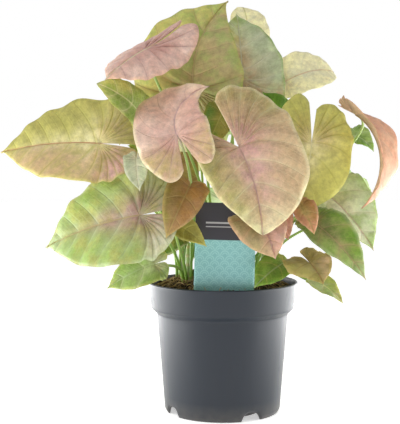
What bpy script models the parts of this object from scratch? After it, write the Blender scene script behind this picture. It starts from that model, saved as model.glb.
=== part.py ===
"""Arrowhead plant in a nursery pot, as separate named pieces.

A thin-walled plastic pot holds a mound of soil. Short stems stand in plain holes in the soil, each ringed
by the stalks of its leaves, and a blank plant label is pushed in at the front. Each leaf is one solid: an
arrowhead blade 0.7 mm thick, joined to the long stalk that carries it.

Units are metres and +Z is up. The origin is the middle of the pot's flat underside, and the plant's front
looks along -Y. Leaf places and widths are written in millimetres and multiplied by MM where they are used.
"""

from dataclasses import dataclass
from math import cos, pi, radians, sin

import bmesh
import bpy
import numpy as np
from mathutils import Matrix, Vector

MM = 0.001
FIT_GAP = 0.0003

# The pot.
POT_HEIGHT = 0.104
RIM_RADIUS = 0.060
BAND_HEIGHT = 0.0215
BAND_FOOT_RADIUS = 0.0567
BAND_STEP = 0.0035
BAND_WALL = 0.0019
BODY_TOP_RADIUS = 0.0523
BODY_FOOT_RADIUS = 0.0460
WALL = 0.0012
EDGE_ROUND = 0.0006
FOOT_ROUND = 0.0030
BASE_PLATE_RADIUS = 0.0300
MOAT_INNER_RADIUS = 0.0335
MOAT_OUTER_RADIUS = 0.0437
MOAT_HEIGHT = 0.0070
POT_STEPS = 48
NOTCH_COUNT = 4
NOTCH_FIRST_ANGLE = radians(-151)
NOTCH_RADIUS = 0.0090
NOTCH_DROP = 0.0020
NOTCH_CUT = 0.0080
NOTCH_STEPS = 20

# The soil.
SOIL_EDGE_HEIGHT = 0.0975
SOIL_MOUND = 0.0165
SOIL_LUMP = 0.0012
SOIL_LUMP_LENGTH = 0.0200
SOIL_RINGS = 7
SOIL_STEPS = 40
HOLE_RADIUS = 0.0069
HOLE_FLOOR = 0.0930
HOLE_DEPTH = 0.0500
HOLE_SIDES = 14

# The plant label.
LABEL_WIDTH = 0.0460
LABEL_TOP = 0.1690
LABEL_SHOULDER = 0.0930
LABEL_POINT = 0.0500
LABEL_POINT_LENGTH = 0.0160
LABEL_NECK = 0.0120
LABEL_STAKE_HALF = 0.0090
LABEL_THICKNESS = 0.0008
LABEL_CORNER = 0.0060
LABEL_X = -0.0025
LABEL_Y = -0.0440
LABEL_LEAN = radians(1.5)

# Stems and stalks.
STEM_FOOT_RADIUS = 0.0030
STEM_TOP_RADIUS = 0.0022
STEM_HEIGHT = 0.0300
STEM_BUD = 0.0120
STEM_CAP = 0.0030
STEM_SIDES = 8
STALK_FOOT_RADIUS = 0.0015
STALK_TIP_RADIUS = 0.0010
STALK_RING_RADIUS = STEM_FOOT_RADIUS + STALK_FOOT_RADIUS + FIT_GAP
STALK_SPACING = radians(42)
SPACING_PASSES = 60
STALK_SIDES = 5
STALK_STEPS = 9
STALK_ENTRY = (-0.62, 0.0, -0.78)

# The blades.
BLADE_THICKNESS = 0.0007
EDGE_STEPS = 11
ACROSS_STEPS = 2
VEIN_SLANT = 0.70
EDGE_WAVES = 2.5
NO_BEND = 0.01
LENGTH_PASSES = 6

# Half of the blade's edge, from the tip round the widest part to the inner corner of the basal lobe. From
# there a straight edge runs to the stalk, and the two of them make the notch. The first number runs along
# the midrib: 1 is the tip, 0 the stalk and -1 the end of the lobe. The second is the distance from the
# midrib as a share of the half width.
HALF_EDGE = (
    (1.00, 0.00),
    (0.94, 0.055),
    (0.83, 0.27),
    (0.63, 0.64),
    (0.37, 0.92),
    (0.06, 1.00),
    (-0.28, 0.98),
    (-0.66, 0.80),
    (-0.92, 0.52),
    (-1.00, 0.32),
    (-0.97, 0.16),
    (-0.86, 0.05),
)

# Where each shoot's stem stands on the soil, in millimetres.
SHOOTS = {
    "front_left": (-27, -17),
    "front_right": (19, -21),
    "left": (-32, 9),
    "right": (33, 3),
    "middle": (-3, 1),
    "back_left": (-15, 29),
    "back_right": (16, 26),
}

COLOURS = {
    "pot": ("#4b5057", 0.38),
    "soil": ("#3a2c20", 0.95),
    "label": ("#6fb9bd", 0.45),
    "stem": ("#7c9a45", 0.50),
    "pink": ("#d9a79a", 0.45),
    "olive": ("#aaa45c", 0.45),
    "green": ("#86a94c", 0.45),
    "pale": ("#c3c79a", 0.45),
    "cream": ("#e3deb0", 0.45),
    "rust": ("#b98a4e", 0.45),
    "deep": ("#5d7d34", 0.45),
}


@dataclass
class Leaf:
    """One leaf. Places are in millimetres, angles in degrees.

    joint is where the stalk meets the blade, tip the blade's point, and facing the way that its upper face
    looks. Left and right are as seen on the upper face with the tip pointing away.
    """

    name: str
    shoot: str
    joint: tuple
    tip: tuple
    facing: tuple
    left: float = 34
    right: float = 34
    lobe_left: float = 38
    lobe_right: float = 38
    fold_left: float = 12
    fold_right: float = 12
    bend: float = 35
    lobe_bend: float = 10
    swing: float = 0
    skew: float = 0
    twist: float = 0
    wave: float = 1.5
    rise: float = 0.40
    hook: float = 0.30
    bow: tuple = (0, 0)
    gape: tuple = (0, 0)
    blunt: float = 0
    tone: str = "olive"


LEAVES = (
    Leaf("leaf_left_large", "left", (-96, -30, 214), (-176, 2, 206), (-0.1, -0.8, 0.55),
         left=37, right=38, lobe_left=33, lobe_right=37, fold_left=5, fold_right=8, bend=30, tone="olive"),
    Leaf("leaf_left_curled", "left", (-66, -50, 240), (-94, -64, 258), (-0.2, -0.85, 0.5),
         left=17, right=14, lobe_left=14, lobe_right=12, twist=30, bend=60, bow=(24, -10), blunt=0.6,
         tone="green"),
    Leaf("leaf_pink_top", "middle", (-59, -60, 283), (-85, -98, 259), (0.21, -0.57, 0.8),
         left=28, right=24, lobe_left=62, lobe_right=62, fold_left=-8, fold_right=-38, bend=20,
         lobe_bend=-16, tone="pink"),
    Leaf("leaf_top_centre", "middle", (-24, 2, 258), (5, 26, 328), (-0.05, -0.9, 0.4),
         left=46, right=42, lobe_left=43, lobe_right=22, fold_left=4, fold_right=8, bend=40, lobe_bend=35,
         swing=-40, skew=0.15, tone="olive"),
    Leaf("leaf_grey_top", "middle", (16, 14, 265), (12, 38, 320), (0.2, -0.9, 0.4),
         left=28, right=34, lobe_left=22, lobe_right=36, bend=25, lobe_bend=30, tone="pale"),
    Leaf("leaf_back_pale_top", "back_right", (20, 50, 295), (18, 66, 328), (0.3, -0.7, 0.5),
         left=18, right=20, lobe_left=20, lobe_right=20, bend=75, blunt=0.5, tone="cream"),
    Leaf("leaf_back_pale_right", "back_right", (55, 48, 266), (96, 70, 274), (0.0, -0.8, 0.6),
         left=20, right=21, lobe_left=18, lobe_right=18, bend=60, blunt=0.8, tone="cream"),
    Leaf("leaf_pink_centre", "front_left", (-35, -76, 221), (-11, -60, 256), (-0.25, -0.85, 0.4),
         left=31, right=25, lobe_left=34, lobe_right=32, bend=35, lobe_bend=15, swing=-105, gape=(0.2,
         0.25), tone="pink"),
    Leaf("leaf_big_centre", "front_right", (11, -66, 211), (27, -88, 148), (0.0, -1.0, 0.15),
         left=43, right=33, lobe_left=59, lobe_right=27, fold_left=8, fold_right=8, bend=30, lobe_bend=15,
         swing=-22, skew=0.05, gape=(0, 0.6), blunt=0.45, tone="olive"),
    Leaf("leaf_right_olive", "right", (68, -26, 214), (43, -34, 158), (0.1, -1.0, 0.1),
         left=32, right=30, lobe_left=34, lobe_right=40, bend=30, swing=-35, gape=(0.08, 0.05),
         tone="olive"),
    Leaf("leaf_right_curl", "back_right", (97, -48, 237), (102, -60, 166), (0.8, -0.5, 0.3),
         left=30, right=12, lobe_left=18, lobe_right=10, fold_left=4, fold_right=40, bend=110, skew=0.4,
         rise=0.5, hook=0.15, bow=(52, 10), tone="pink"),
    Leaf("leaf_right_back_green", "back_right", (104, 14, 220), (121, 8, 207), (0.4, -0.7, 0.6),
         left=12, right=12, lobe_left=10, lobe_right=10, bend=70, bow=(0, -10), tone="green"),
    Leaf("leaf_right_pale", "right", (83, -12, 173), (116, -30, 131), (0.3, -0.8, 0.5),
         left=30, right=24, lobe_left=14, lobe_right=16, bow=(0, 8), tone="pale"),
    Leaf("leaf_right_green", "right", (70, -44, 153), (105, -68, 113), (0.3, -0.8, 0.5),
         left=20, right=18, lobe_left=14, lobe_right=13, tone="green"),
    Leaf("leaf_right_small", "right", (64, -66, 125), (72, -82, 112), (0.1, -0.8, 0.6),
         left=15, right=22, lobe_left=24, lobe_right=14, bend=30, rise=0.2, bow=(8, -6), tone="olive"),
    Leaf("leaf_right_low", "front_right", (45, -45, 123), (22, -61, 106), (0.0, -0.7, 0.7),
         left=14, right=14, lobe_left=9, lobe_right=7, tone="green"),
    Leaf("leaf_right_tip", "right", (73, -30, 107), (91, -46, 92), (0.2, -0.7, 0.7),
         left=9, right=9, lobe_left=9, lobe_right=9, bow=(4, 4), tone="green"),
    Leaf("leaf_pink_low", "front_right", (27, -70, 158), (37, -80, 130), (0.0, -0.9, 0.4),
         left=17, right=24, lobe_left=13, lobe_right=18, bend=85, rise=0.3, bow=(10, 0), tone="pink"),
    Leaf("leaf_salmon", "front_right", (41, -44, 162), (49, -48, 141), (0.0, -0.9, 0.4),
         left=10, right=15, lobe_left=7, lobe_right=10, rise=0.3, bow=(2, 4), tone="rust"),
    Leaf("leaf_orange_tip", "right", (57, -66, 167), (66, -72, 147), (0.2, -0.9, 0.4),
         left=10, right=9, lobe_left=7, lobe_right=6, rise=0.22, hook=0.2, bow=(10, -8), tone="rust"),
    Leaf("leaf_left_green", "front_left", (-63, -62, 161), (-136, -30, 133), (-0.2, -0.8, 0.55),
         left=42, right=40, lobe_left=27, lobe_right=28, fold_left=6, fold_right=8, lobe_bend=25, bow=(-6,
         0), tone="green"),
    Leaf("leaf_left_pale", "left", (-65, -62, 202), (-62, -73, 179), (-0.2, -0.9, 0.4),
         left=10, right=10, lobe_left=9, lobe_right=9, rise=0.65, bow=(8, 4), tone="pale"),
    Leaf("leaf_left_low", "front_left", (-53, -52, 123), (-88, -48, 104), (-0.2, -0.8, 0.6),
         left=19, right=15, lobe_left=10, lobe_right=12, tone="green"),
    Leaf("leaf_orange_centre", "front_left", (-26, -64, 182), (-43, -82, 145), (0.1, -0.9, 0.4),
         left=16, right=16, lobe_left=8, lobe_right=6, bow=(7, 0), tone="rust"),
    Leaf("leaf_low_olive", "front_left", (-34, -58, 153), (-13, -68, 138), (0.0, -0.8, 0.6),
         left=9, right=10, lobe_left=10, lobe_right=10, bow=(-2, 0), tone="olive"),
    Leaf("leaf_dark_centre", "middle", (-37, 14, 194), (-29, 14, 164), (-0.1, -0.9, 0.4),
         left=18, right=18, lobe_left=12, lobe_right=12, tone="deep"),
    Leaf("leaf_inner_green", "middle", (49, 0, 232), (31, -8, 254), (0.0, -0.8, 0.6),
         left=14, right=14, lobe_left=12, lobe_right=12, bow=(0, 4), tone="deep"),
    Leaf("leaf_dark_upper", "middle", (-1, -14, 237), (-13, -20, 209), (0.0, -0.9, 0.4),
         left=13, right=13, lobe_left=10, lobe_right=10, bow=(8, -4), tone="deep"),
    Leaf("leaf_low_dark", "left", (-37, -6, 139), (-56, -10, 123), (0.0, -0.8, 0.6),
         left=12, right=11, lobe_left=8, lobe_right=8, tone="deep"),
    Leaf("leaf_lime_small", "left", (-68, -4, 209), (-75, -8, 212), (0.0, -0.8, 0.6),
         left=4, right=4, lobe_left=4, lobe_right=4, gape=(0.3, 0.3), tone="green"),
    Leaf("leaf_back_1", "back_left", (-48, 45, 232), (-88, 80, 212), (-0.3, 0.3, 0.9),
         left=34, right=34, tone="olive"),
    Leaf("leaf_back_2", "back_left", (-22, 84, 212), (-38, 130, 168), (-0.2, 0.7, 0.6),
         left=34, right=30, tone="green"),
    Leaf("leaf_back_3", "back_right", (44, 96, 208), (60, 138, 164), (0.2, 0.7, 0.6),
         left=30, right=34, lobe_left=30, lobe_right=30, tone="olive"),
    Leaf("leaf_back_4", "back_right", (88, 58, 182), (128, 88, 150), (0.4, 0.4, 0.8),
         left=32, right=30, lobe_left=20, lobe_right=20, tone="green"),
    Leaf("leaf_back_5", "back_left", (-72, 38, 172), (-112, 70, 146), (-0.4, 0.3, 0.8),
         left=28, right=28, lobe_left=26, lobe_right=26, tone="green"),
    Leaf("leaf_back_6", "back_left", (2, 68, 165), (2, 105, 125), (0.0, 0.8, 0.6),
         left=26, right=26, lobe_left=20, lobe_right=20, tone="green"),
)


def linear(hex_colour):
    """An sRGB colour written as #rrggbb, as linear RGBA."""
    parts = [int(hex_colour[i:i + 2], 16) / 255 for i in (1, 3, 5)]
    return [c / 12.92 if c <= 0.04045 else ((c + 0.055) / 1.055) ** 2.4 for c in parts] + [1.0]


def material(name):
    """The plain material of that name, made once from COLOURS."""
    found = bpy.data.materials.get(name)
    if found:
        return found
    hex_colour, roughness = COLOURS[name]
    made = bpy.data.materials.new(name)
    made.use_nodes = True
    shader = made.node_tree.nodes["Principled BSDF"]
    shader.inputs["Base Color"].default_value = linear(hex_colour)
    shader.inputs["Roughness"].default_value = roughness
    shader.inputs["Metallic"].default_value = 0.0
    made.diffuse_color = linear(hex_colour)
    return made


def add_object(name, mesh, colour):
    """Links a mesh to the scene as one named piece."""
    piece = bpy.data.objects.new(name, mesh)
    bpy.context.scene.collection.objects.link(piece)
    mesh.materials.append(material(colour))
    return piece


def mesh_from(name, points, faces):
    """A mesh from arrays of points and faces, with coinciding points made one."""
    mesh = bpy.data.meshes.new(name)
    mesh.from_pydata([tuple(p) for p in points], [], [tuple(int(i) for i in f) for f in faces])
    tidy = bmesh.new()
    tidy.from_mesh(mesh)
    bmesh.ops.remove_doubles(tidy, verts=tidy.verts, dist=1e-5)
    bmesh.ops.triangulate(tidy, faces=tidy.faces)
    tidy.to_mesh(mesh)
    tidy.free()
    return mesh


def apply_modifiers(piece):
    """Puts the evaluated shape into the piece's own mesh and drops its modifiers."""
    graph = bpy.context.evaluated_depsgraph_get()
    shaped = bpy.data.meshes.new_from_object(piece.evaluated_get(graph))
    piece.modifiers.clear()
    piece.data = shaped


def join(piece, tool, operation):
    """Unites a piece with a tool, or cuts the tool from it, and removes the tool."""
    boolean = piece.modifiers.new("join", "BOOLEAN")
    boolean.operation = operation
    boolean.solver = "EXACT"
    boolean.object = tool
    apply_modifiers(piece)
    bpy.data.objects.remove(tool)


def smooth_shade(piece, angle=35):
    """Shades round faces smooth and keeps edges sharper than the angle."""
    piece.data.shade_smooth()
    piece.data.set_sharp_from_angle(angle=radians(angle))


def spun(name, profile, steps, colour):
    """A closed profile of (radius, height) points, turned once round the Z axis."""
    turning = bmesh.new()
    ring = [turning.verts.new((radius, 0.0, height)) for radius, height in profile]
    edges = [turning.edges.new(pair) for pair in zip(ring, ring[1:])]
    bmesh.ops.spin(
        turning, geom=ring + edges, cent=(0, 0, 0), axis=(0, 0, 1), angle=2 * pi, steps=steps
    )
    bmesh.ops.remove_doubles(turning, verts=turning.verts, dist=1e-5)
    bmesh.ops.recalc_face_normals(turning, faces=turning.faces)
    mesh = bpy.data.meshes.new(name)
    turning.to_mesh(mesh)
    turning.free()
    return add_object(name, mesh, colour)


def smooth_curve(points, count):
    """Catmull-Rom curve through the points, read at count places spaced evenly along its length."""
    fine = 16
    p = np.array([points[0], *points, points[-1]], float)
    u = np.linspace(0, 1, fine, endpoint=False)[:, None]
    pieces = []
    for a, b, c, d in zip(p, p[1:], p[2:], p[3:]):
        pieces.append(
            0.5 * (2 * b + (c - a) * u + (2 * a - 5 * b + 4 * c - d) * u**2
                   + (3 * b - a - 3 * c + d) * u**3)
        )
    line = np.vstack(pieces + [p[-1:]])
    travelled = np.concatenate([[0], np.cumsum(np.linalg.norm(np.diff(line, axis=0), axis=1))])
    wanted = np.linspace(0, travelled[-1], count)
    return np.stack([np.interp(wanted, travelled, line[:, k]) for k in range(line.shape[1])], 1)


def unit(vector):
    """The vector at length one."""
    vector = np.asarray(vector, float)
    return vector / np.linalg.norm(vector)


def tube(name, line, radii, sides, colour):
    """A round bar along a line of points, with a radius at each point and flat ends."""
    tangents = np.gradient(line, axis=0)
    tangents /= np.linalg.norm(tangents, axis=1)[:, None]
    across = unit(np.cross(tangents[0], (0.31, 0.95, 0.05)))
    angles = np.arange(sides) * 2 * pi / sides
    points = []
    for centre, tangent, radius in zip(line, tangents, radii):
        across = unit(across - tangent * (across @ tangent))
        up = np.cross(tangent, across)
        points.extend(
            centre + radius * (np.cos(angles)[:, None] * across + np.sin(angles)[:, None] * up)
        )
    faces = []
    for row in range(len(line) - 1):
        for k in range(sides):
            a, b = row * sides + k, row * sides + (k + 1) % sides
            faces.append((a, b, b + sides, a + sides))
    last = (len(line) - 1) * sides
    faces.append(tuple(range(sides))[::-1])
    faces.append(tuple(last + k for k in range(sides)))
    return add_object(name, mesh_from(name, points, faces), colour)


def inside_line(gap):
    """(radius, height) from the middle of the pot's floor up its inside, kept clear of it by the gap."""
    band_foot = POT_HEIGHT - BAND_HEIGHT
    shoulder = band_foot - BAND_STEP
    taper = (BODY_TOP_RADIUS - BODY_FOOT_RADIUS) / shoulder
    floor = MOAT_HEIGHT + WALL + gap
    return [
        (0.0, WALL + gap),
        (BASE_PLATE_RADIUS - EDGE_ROUND - gap, WALL + gap),
        (MOAT_INNER_RADIUS - EDGE_ROUND - gap, floor),
        (BODY_FOOT_RADIUS + taper * floor - WALL - gap, floor),
        (BODY_TOP_RADIUS - WALL - gap, shoulder + EDGE_ROUND + gap),
        (BAND_FOOT_RADIUS - BAND_WALL - gap, band_foot + WALL + gap),
        (RIM_RADIUS - BAND_WALL - gap, POT_HEIGHT - EDGE_ROUND),
    ]


def pot_profile():
    """(radius, height) round the pot's wall: down the outside, under the base, and up the inside."""
    band_foot = POT_HEIGHT - BAND_HEIGHT
    taper = (BODY_TOP_RADIUS - BODY_FOOT_RADIUS) / (band_foot - BAND_STEP)
    crest = (RIM_RADIUS - WALL, POT_HEIGHT)
    return [
        crest,
        (RIM_RADIUS - EDGE_ROUND / 2, POT_HEIGHT - EDGE_ROUND),
        (RIM_RADIUS, POT_HEIGHT - 3 * EDGE_ROUND),
        (BAND_FOOT_RADIUS, band_foot + EDGE_ROUND),
        (BAND_FOOT_RADIUS - EDGE_ROUND, band_foot),
        (BODY_TOP_RADIUS, band_foot - BAND_STEP),
        (BODY_FOOT_RADIUS + taper * FOOT_ROUND, FOOT_ROUND),
        (BODY_FOOT_RADIUS - WALL, 0.0),
        (MOAT_OUTER_RADIUS, 0.0),
        (MOAT_OUTER_RADIUS - EDGE_ROUND, MOAT_HEIGHT),
        (MOAT_INNER_RADIUS, MOAT_HEIGHT),
        (BASE_PLATE_RADIUS, 0.0),
        (0.0, 0.0),
        *inside_line(0.0),
        crest,
    ]


def build_pot():
    """The pot, with an arched drain notch cut through its foot at each of four places."""
    pot = spun("pot", pot_profile(), POT_STEPS, "pot")
    wall_middle = (BODY_FOOT_RADIUS + MOAT_OUTER_RADIUS) / 2
    for k in range(NOTCH_COUNT):
        angle = NOTCH_FIRST_ANGLE + k * 2 * pi / NOTCH_COUNT
        out = Vector((cos(angle), sin(angle), 0))
        middle = out * wall_middle - Vector((0, 0, NOTCH_DROP))
        turn = out.to_track_quat("Z", "Y").to_matrix().to_4x4()
        cutter_mesh = bpy.data.meshes.new("notch_cutter")
        shape = bmesh.new()
        bmesh.ops.create_cone(
            shape, cap_ends=True, segments=NOTCH_STEPS, radius1=NOTCH_RADIUS, radius2=NOTCH_RADIUS,
            depth=NOTCH_CUT, matrix=Matrix.Translation(middle) @ turn
        )
        shape.to_mesh(cutter_mesh)
        shape.free()
        cutter = add_object("notch_cutter", cutter_mesh, "pot")
        join(pot, cutter, "DIFFERENCE")
    smooth_shade(pot)


def soil_height(x, y):
    """Height of the soil's top: a mound that falls to the pot's edge, with shallow lumps."""
    share = np.minimum((x**2 + y**2) / BAND_FOOT_RADIUS**2, 1.0)
    turn = 2 * pi / SOIL_LUMP_LENGTH
    lumps = np.sin(turn * x + 1.3) * np.cos(turn * y + 0.4) + 0.6 * np.sin(1.6 * turn * (x + y) + 2.0)
    return SOIL_EDGE_HEIGHT + SOIL_MOUND * (1 - share) ** 1.3 + SOIL_LUMP * lumps * (1 - share)


def build_soil():
    """The soil, filling the pot to just under its rim, with a plain hole for each shoot and the label."""
    wall = inside_line(FIT_GAP)
    (low_radius, low), (high_radius, high) = wall[-2:]
    edge_radius = low_radius + (high_radius - low_radius) * (SOIL_EDGE_HEIGHT - low) / (high - low)
    rings = np.linspace(edge_radius, 0.0, SOIL_RINGS + 1)
    profile = wall[:-1] + [(radius, SOIL_EDGE_HEIGHT) for radius in rings]
    soil = spun("soil", profile, SOIL_STEPS, "soil")
    inner_ring = (rings[0] + rings[1]) / 2
    for vertex in soil.data.vertices:
        x, y, z = vertex.co
        if z > SOIL_EDGE_HEIGHT - 1e-6 and x * x + y * y < inner_ring**2:
            vertex.co.z = float(soil_height(x, y))
    for x, y in SHOOTS.values():
        line = np.array([(x * MM, y * MM, HOLE_FLOOR + rise) for rise in (0.0, HOLE_DEPTH)])
        hole = tube("hole", line, (HOLE_RADIUS, HOLE_RADIUS), HOLE_SIDES, "soil")
        join(soil, hole, "DIFFERENCE")
    join(soil, label_solid("label_slot", FIT_GAP), "DIFFERENCE")
    smooth_shade(soil, 50)


def label_outline(grow):
    """(across, height) points of the label: a card with round top corners on a pointed stake."""
    half = LABEL_WIDTH / 2 + grow
    top = LABEL_TOP + grow
    corner = [
        (half - LABEL_CORNER + LABEL_CORNER * cos(a), top - LABEL_CORNER + LABEL_CORNER * sin(a))
        for a in np.linspace(0, pi / 2, 6)
    ]
    right = [
        (0.0, LABEL_POINT - 2 * grow),
        (LABEL_STAKE_HALF + grow, LABEL_POINT + LABEL_POINT_LENGTH),
        (LABEL_STAKE_HALF + grow, LABEL_SHOULDER - LABEL_NECK - grow),
        (half, LABEL_SHOULDER - grow),
        *corner,
    ]
    return right + [(-x, z) for x, z in right[:0:-1]]


def label_solid(name, grow):
    """The label as an extruded outline. grow makes it larger all round, for the slot that it stands in."""
    outline = label_outline(grow)
    card = bmesh.new()
    thick = LABEL_THICKNESS + 2 * grow
    front = [card.verts.new((x, -thick / 2, z)) for x, z in outline]
    face = card.faces.new(front)
    grown = bmesh.ops.extrude_face_region(card, geom=[face])
    moved = [v for v in grown["geom"] if isinstance(v, bmesh.types.BMVert)]
    bmesh.ops.translate(card, verts=moved, vec=(0, thick, 0))
    bmesh.ops.recalc_face_normals(card, faces=card.faces)
    mesh = bpy.data.meshes.new(name)
    card.to_mesh(mesh)
    card.free()
    mesh.transform(Matrix.Translation((LABEL_X, LABEL_Y, 0)) @ Matrix.Rotation(LABEL_LEAN, 4, "Y"))
    return add_object(name, mesh, "label")


def build_stems():
    """One short stem for each shoot, standing on the floor of its hole in the soil."""
    for name, (x, y) in SHOOTS.items():
        foot = HOLE_FLOOR + FIT_GAP
        top = float(soil_height(x * MM, y * MM)) + STEM_HEIGHT
        heights = (foot, top - STEM_BUD, top - STEM_CAP, top)
        radii = (STEM_FOOT_RADIUS, 1.1 * STEM_TOP_RADIUS, STEM_TOP_RADIUS, 0.4 * STEM_TOP_RADIUS)
        line = np.array([(x * MM, y * MM, z) for z in heights])
        smooth_shade(tube("stem_" + name, line, radii, STEM_SIDES, "stem"))


def half_blade(leaf, side, length):
    """A grid over one half of the flat blade, as (along, across, edge share, place on the edge).

    Rows run from the midrib to the edge as the side veins do: towards the tip they leave the midrib at a
    slant, and past the widest part they fan out from the stalk. gape moves each lobe's end away from the
    midrib, and blunt makes the tip rounder.
    """
    width, lobe = (leaf.left, leaf.lobe_left) if side > 0 else (leaf.right, leaf.lobe_right)
    gape = leaf.gape[0] if side > 0 else leaf.gape[1]
    edge = smooth_curve(HALF_EDGE, EDGE_STEPS + 1)
    along = np.where(edge[:, 0] > 0, edge[:, 0] * length, edge[:, 0] * lobe * MM)
    ahead, behind = np.clip(edge[:, 0], 0, 1), np.minimum(edge[:, 0], 0)
    out = np.maximum(edge[:, 1], 0.0) + gape * behind**2 + leaf.blunt * ahead**2 * np.sqrt(1 - ahead**2)
    across = out * width * MM
    mean_across = across * (leaf.left + leaf.right) / (2 * width)
    start = np.clip(edge[:, 0] * length - VEIN_SLANT * mean_across, 0.0, length)
    share = np.linspace(0, 1, ACROSS_STEPS + 1)[None, :]
    along = along + side * leaf.skew * across
    grid_along = start[:, None] * (1 - share) + along[:, None] * share
    grid_across = across[:, None] * share
    place = np.linspace(0, 1, EDGE_STEPS + 1)[:, None] + 0 * share
    return grid_along, grid_across, share + 0 * place, place


def curve_blade(leaf, side, along, across, share, place, length):
    """Points of the curved blade in its own frame: x to the tip, y to the left, z out of the upper face.

    Each half is raised by its fold, waved along its edge and twisted along the midrib. The midrib then
    turns within the blade's plane by swing, and bends out of it by bend; lobe_bend bends the lobes.
    """
    fold = radians(leaf.fold_left if side > 0 else leaf.fold_right)
    lobe = (leaf.lobe_left if side > 0 else leaf.lobe_right) * MM
    along_edge = np.sin(2 * pi * EDGE_WAVES * place + side * 1.1) * np.sin(pi * place)
    waves = leaf.wave * MM * share**2 * along_edge
    sideways = side * across * cos(fold)
    raised = across * sin(fold) + waves
    turn = radians(leaf.twist) * along / length
    sideways, raised = (
        sideways * np.cos(turn) - raised * np.sin(turn),
        sideways * np.sin(turn) + raised * np.cos(turn),
    )
    swing_rate = radians(leaf.swing or NO_BEND) / length
    heading = swing_rate * np.maximum(along, 0)
    forward = np.sin(heading) / swing_rate + np.minimum(along, 0) - sideways * np.sin(heading)
    y = (1 - np.cos(heading)) / swing_rate + sideways * np.cos(heading)
    bend_rate = np.where(
        forward > 0, radians(leaf.bend or NO_BEND) / length, radians(leaf.lobe_bend or NO_BEND) / lobe
    )
    angle = bend_rate * forward
    x = np.sin(angle) / bend_rate + raised * np.sin(angle)
    z = -(1 - np.cos(angle)) / bend_rate + raised * np.cos(angle)
    return np.stack([x, y, z], -1)


def blade_frame(leaf):
    """The blade's length and the turn from its own frame to the world.

    The length is such that the curved blade's tip, turned so that its face looks along facing, lands on
    the leaf's stated tip.
    """
    joint, tip = np.array(leaf.joint) * MM, np.array(leaf.tip) * MM
    span = np.linalg.norm(tip - joint)
    length = span
    one = np.array(1.0)
    for _ in range(LENGTH_PASSES):
        end = curve_blade(leaf, 1, one * length, one * 0, one * 0, one * 0, length)
        length *= span / np.linalg.norm(end)
    own_x = unit(end)
    own_z = unit(np.array((0, 0, 1.0)) - own_x * own_x[2])
    world_x = unit(tip - joint)
    facing = np.array(leaf.facing, float)
    world_z = unit(facing - world_x * (facing @ world_x))
    own = np.stack([own_x, np.cross(own_z, own_x), own_z])
    world = np.stack([world_x, np.cross(world_z, world_x), world_z])
    return length, world.T @ own


def blade_solid(leaf):
    """The blade: both halves as one curved sheet, given its thickness evenly on both faces."""
    length, turn = blade_frame(leaf)
    points, faces = [], []
    for side in (1, -1):
        along, across, share, place = half_blade(leaf, side, length)
        grid = curve_blade(leaf, side, along, across, share, place, length)
        first = len(points)
        points.extend(grid.reshape(-1, 3) @ turn.T + np.array(leaf.joint) * MM)
        columns = ACROSS_STEPS + 1
        for i in range(EDGE_STEPS):
            for j in range(ACROSS_STEPS):
                a = first + i * columns + j
                loop = (a, a + 1, a + 1 + columns, a + columns)
                faces.append(loop[::-1] if side > 0 else loop)
    blade = add_object(leaf.name, mesh_from(leaf.name, points, faces), leaf.tone)
    wall = blade.modifiers.new("thickness", "SOLIDIFY")
    wall.thickness = BLADE_THICKNESS
    wall.offset = 0.0
    apply_modifiers(blade)
    return blade, turn


def bezier(start, first, second, end, count):
    """count + 1 points on a cubic curve."""
    t = np.linspace(0, 1, count + 1)[:, None]
    return ((1 - t) ** 3 * start + 3 * (1 - t) ** 2 * t * first
            + 3 * (1 - t) * t**2 * second + t**3 * end)


def stalk_line(leaf, root, turn):
    """The stalk's centre line: straight up out of the soil, then curving to enter the blade from below.

    rise says how far it goes on upwards, hook how far it comes in along the blade's own direction, and
    bow pushes its middle sideways by (x, y) millimetres.
    """
    joint = np.array(leaf.joint) * MM
    into = unit(turn @ np.array(STALK_ENTRY))
    out = np.array((root[0], root[1], float(soil_height(root[0], root[1])) + MM))
    reach = np.linalg.norm(joint - out)
    bow = np.array((*leaf.bow, 0.0)) * MM
    first = out + bow + np.array((0, 0, reach * leaf.rise))
    second = joint + bow + into * reach * leaf.hook
    return np.vstack([root, bezier(out, first, second, joint, STALK_STEPS - 1)])


def stalk_roots():
    """Where each leaf's stalk stands: on a ring round its shoot's stem, on the side that it leans to.

    Neighbours closer than STALK_SPACING are moved apart along the ring, half of the shortfall each, until
    all of them have room.
    """
    roots = {}
    for shoot, (x, y) in SHOOTS.items():
        ways = sorted(
            (
                float(np.arctan2(
                    leaf.joint[1] + 2 * leaf.bow[1] - y, leaf.joint[0] + 2 * leaf.bow[0] - x
                )),
                leaf.name,
            )
            for leaf in LEAVES if leaf.shoot == shoot
        )
        angles = np.array([angle for angle, _ in ways])
        for _ in range(SPACING_PASSES):
            gaps = np.diff(angles, append=angles[:1] + 2 * pi)
            push = np.maximum(STALK_SPACING - gaps, 0) / 2
            angles = angles + np.roll(push, 1) - push
        for angle, (_, name) in zip(angles, ways):
            roots[name] = np.array((
                x * MM + STALK_RING_RADIUS * cos(angle),
                y * MM + STALK_RING_RADIUS * sin(angle),
                HOLE_FLOOR + FIT_GAP,
            ))
    return roots


def build_leaves():
    """Every leaf, as its blade united with its stalk."""
    roots = stalk_roots()
    for leaf in LEAVES:
        blade, turn = blade_solid(leaf)
        line = stalk_line(leaf, roots[leaf.name], turn)
        radii = np.linspace(STALK_FOOT_RADIUS, STALK_TIP_RADIUS, STALK_STEPS + 1)
        stalk = tube("stalk", line, radii, STALK_SIDES, leaf.tone)
        join(blade, stalk, "UNION")
        smooth_shade(blade, 60)


def main():
    """Clears the scene and builds every piece."""
    for old in list(bpy.data.objects):
        bpy.data.objects.remove(old)
    build_pot()
    build_soil()
    label = label_solid("label", 0.0)
    smooth_shade(label)
    build_stems()
    build_leaves()


main()
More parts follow.
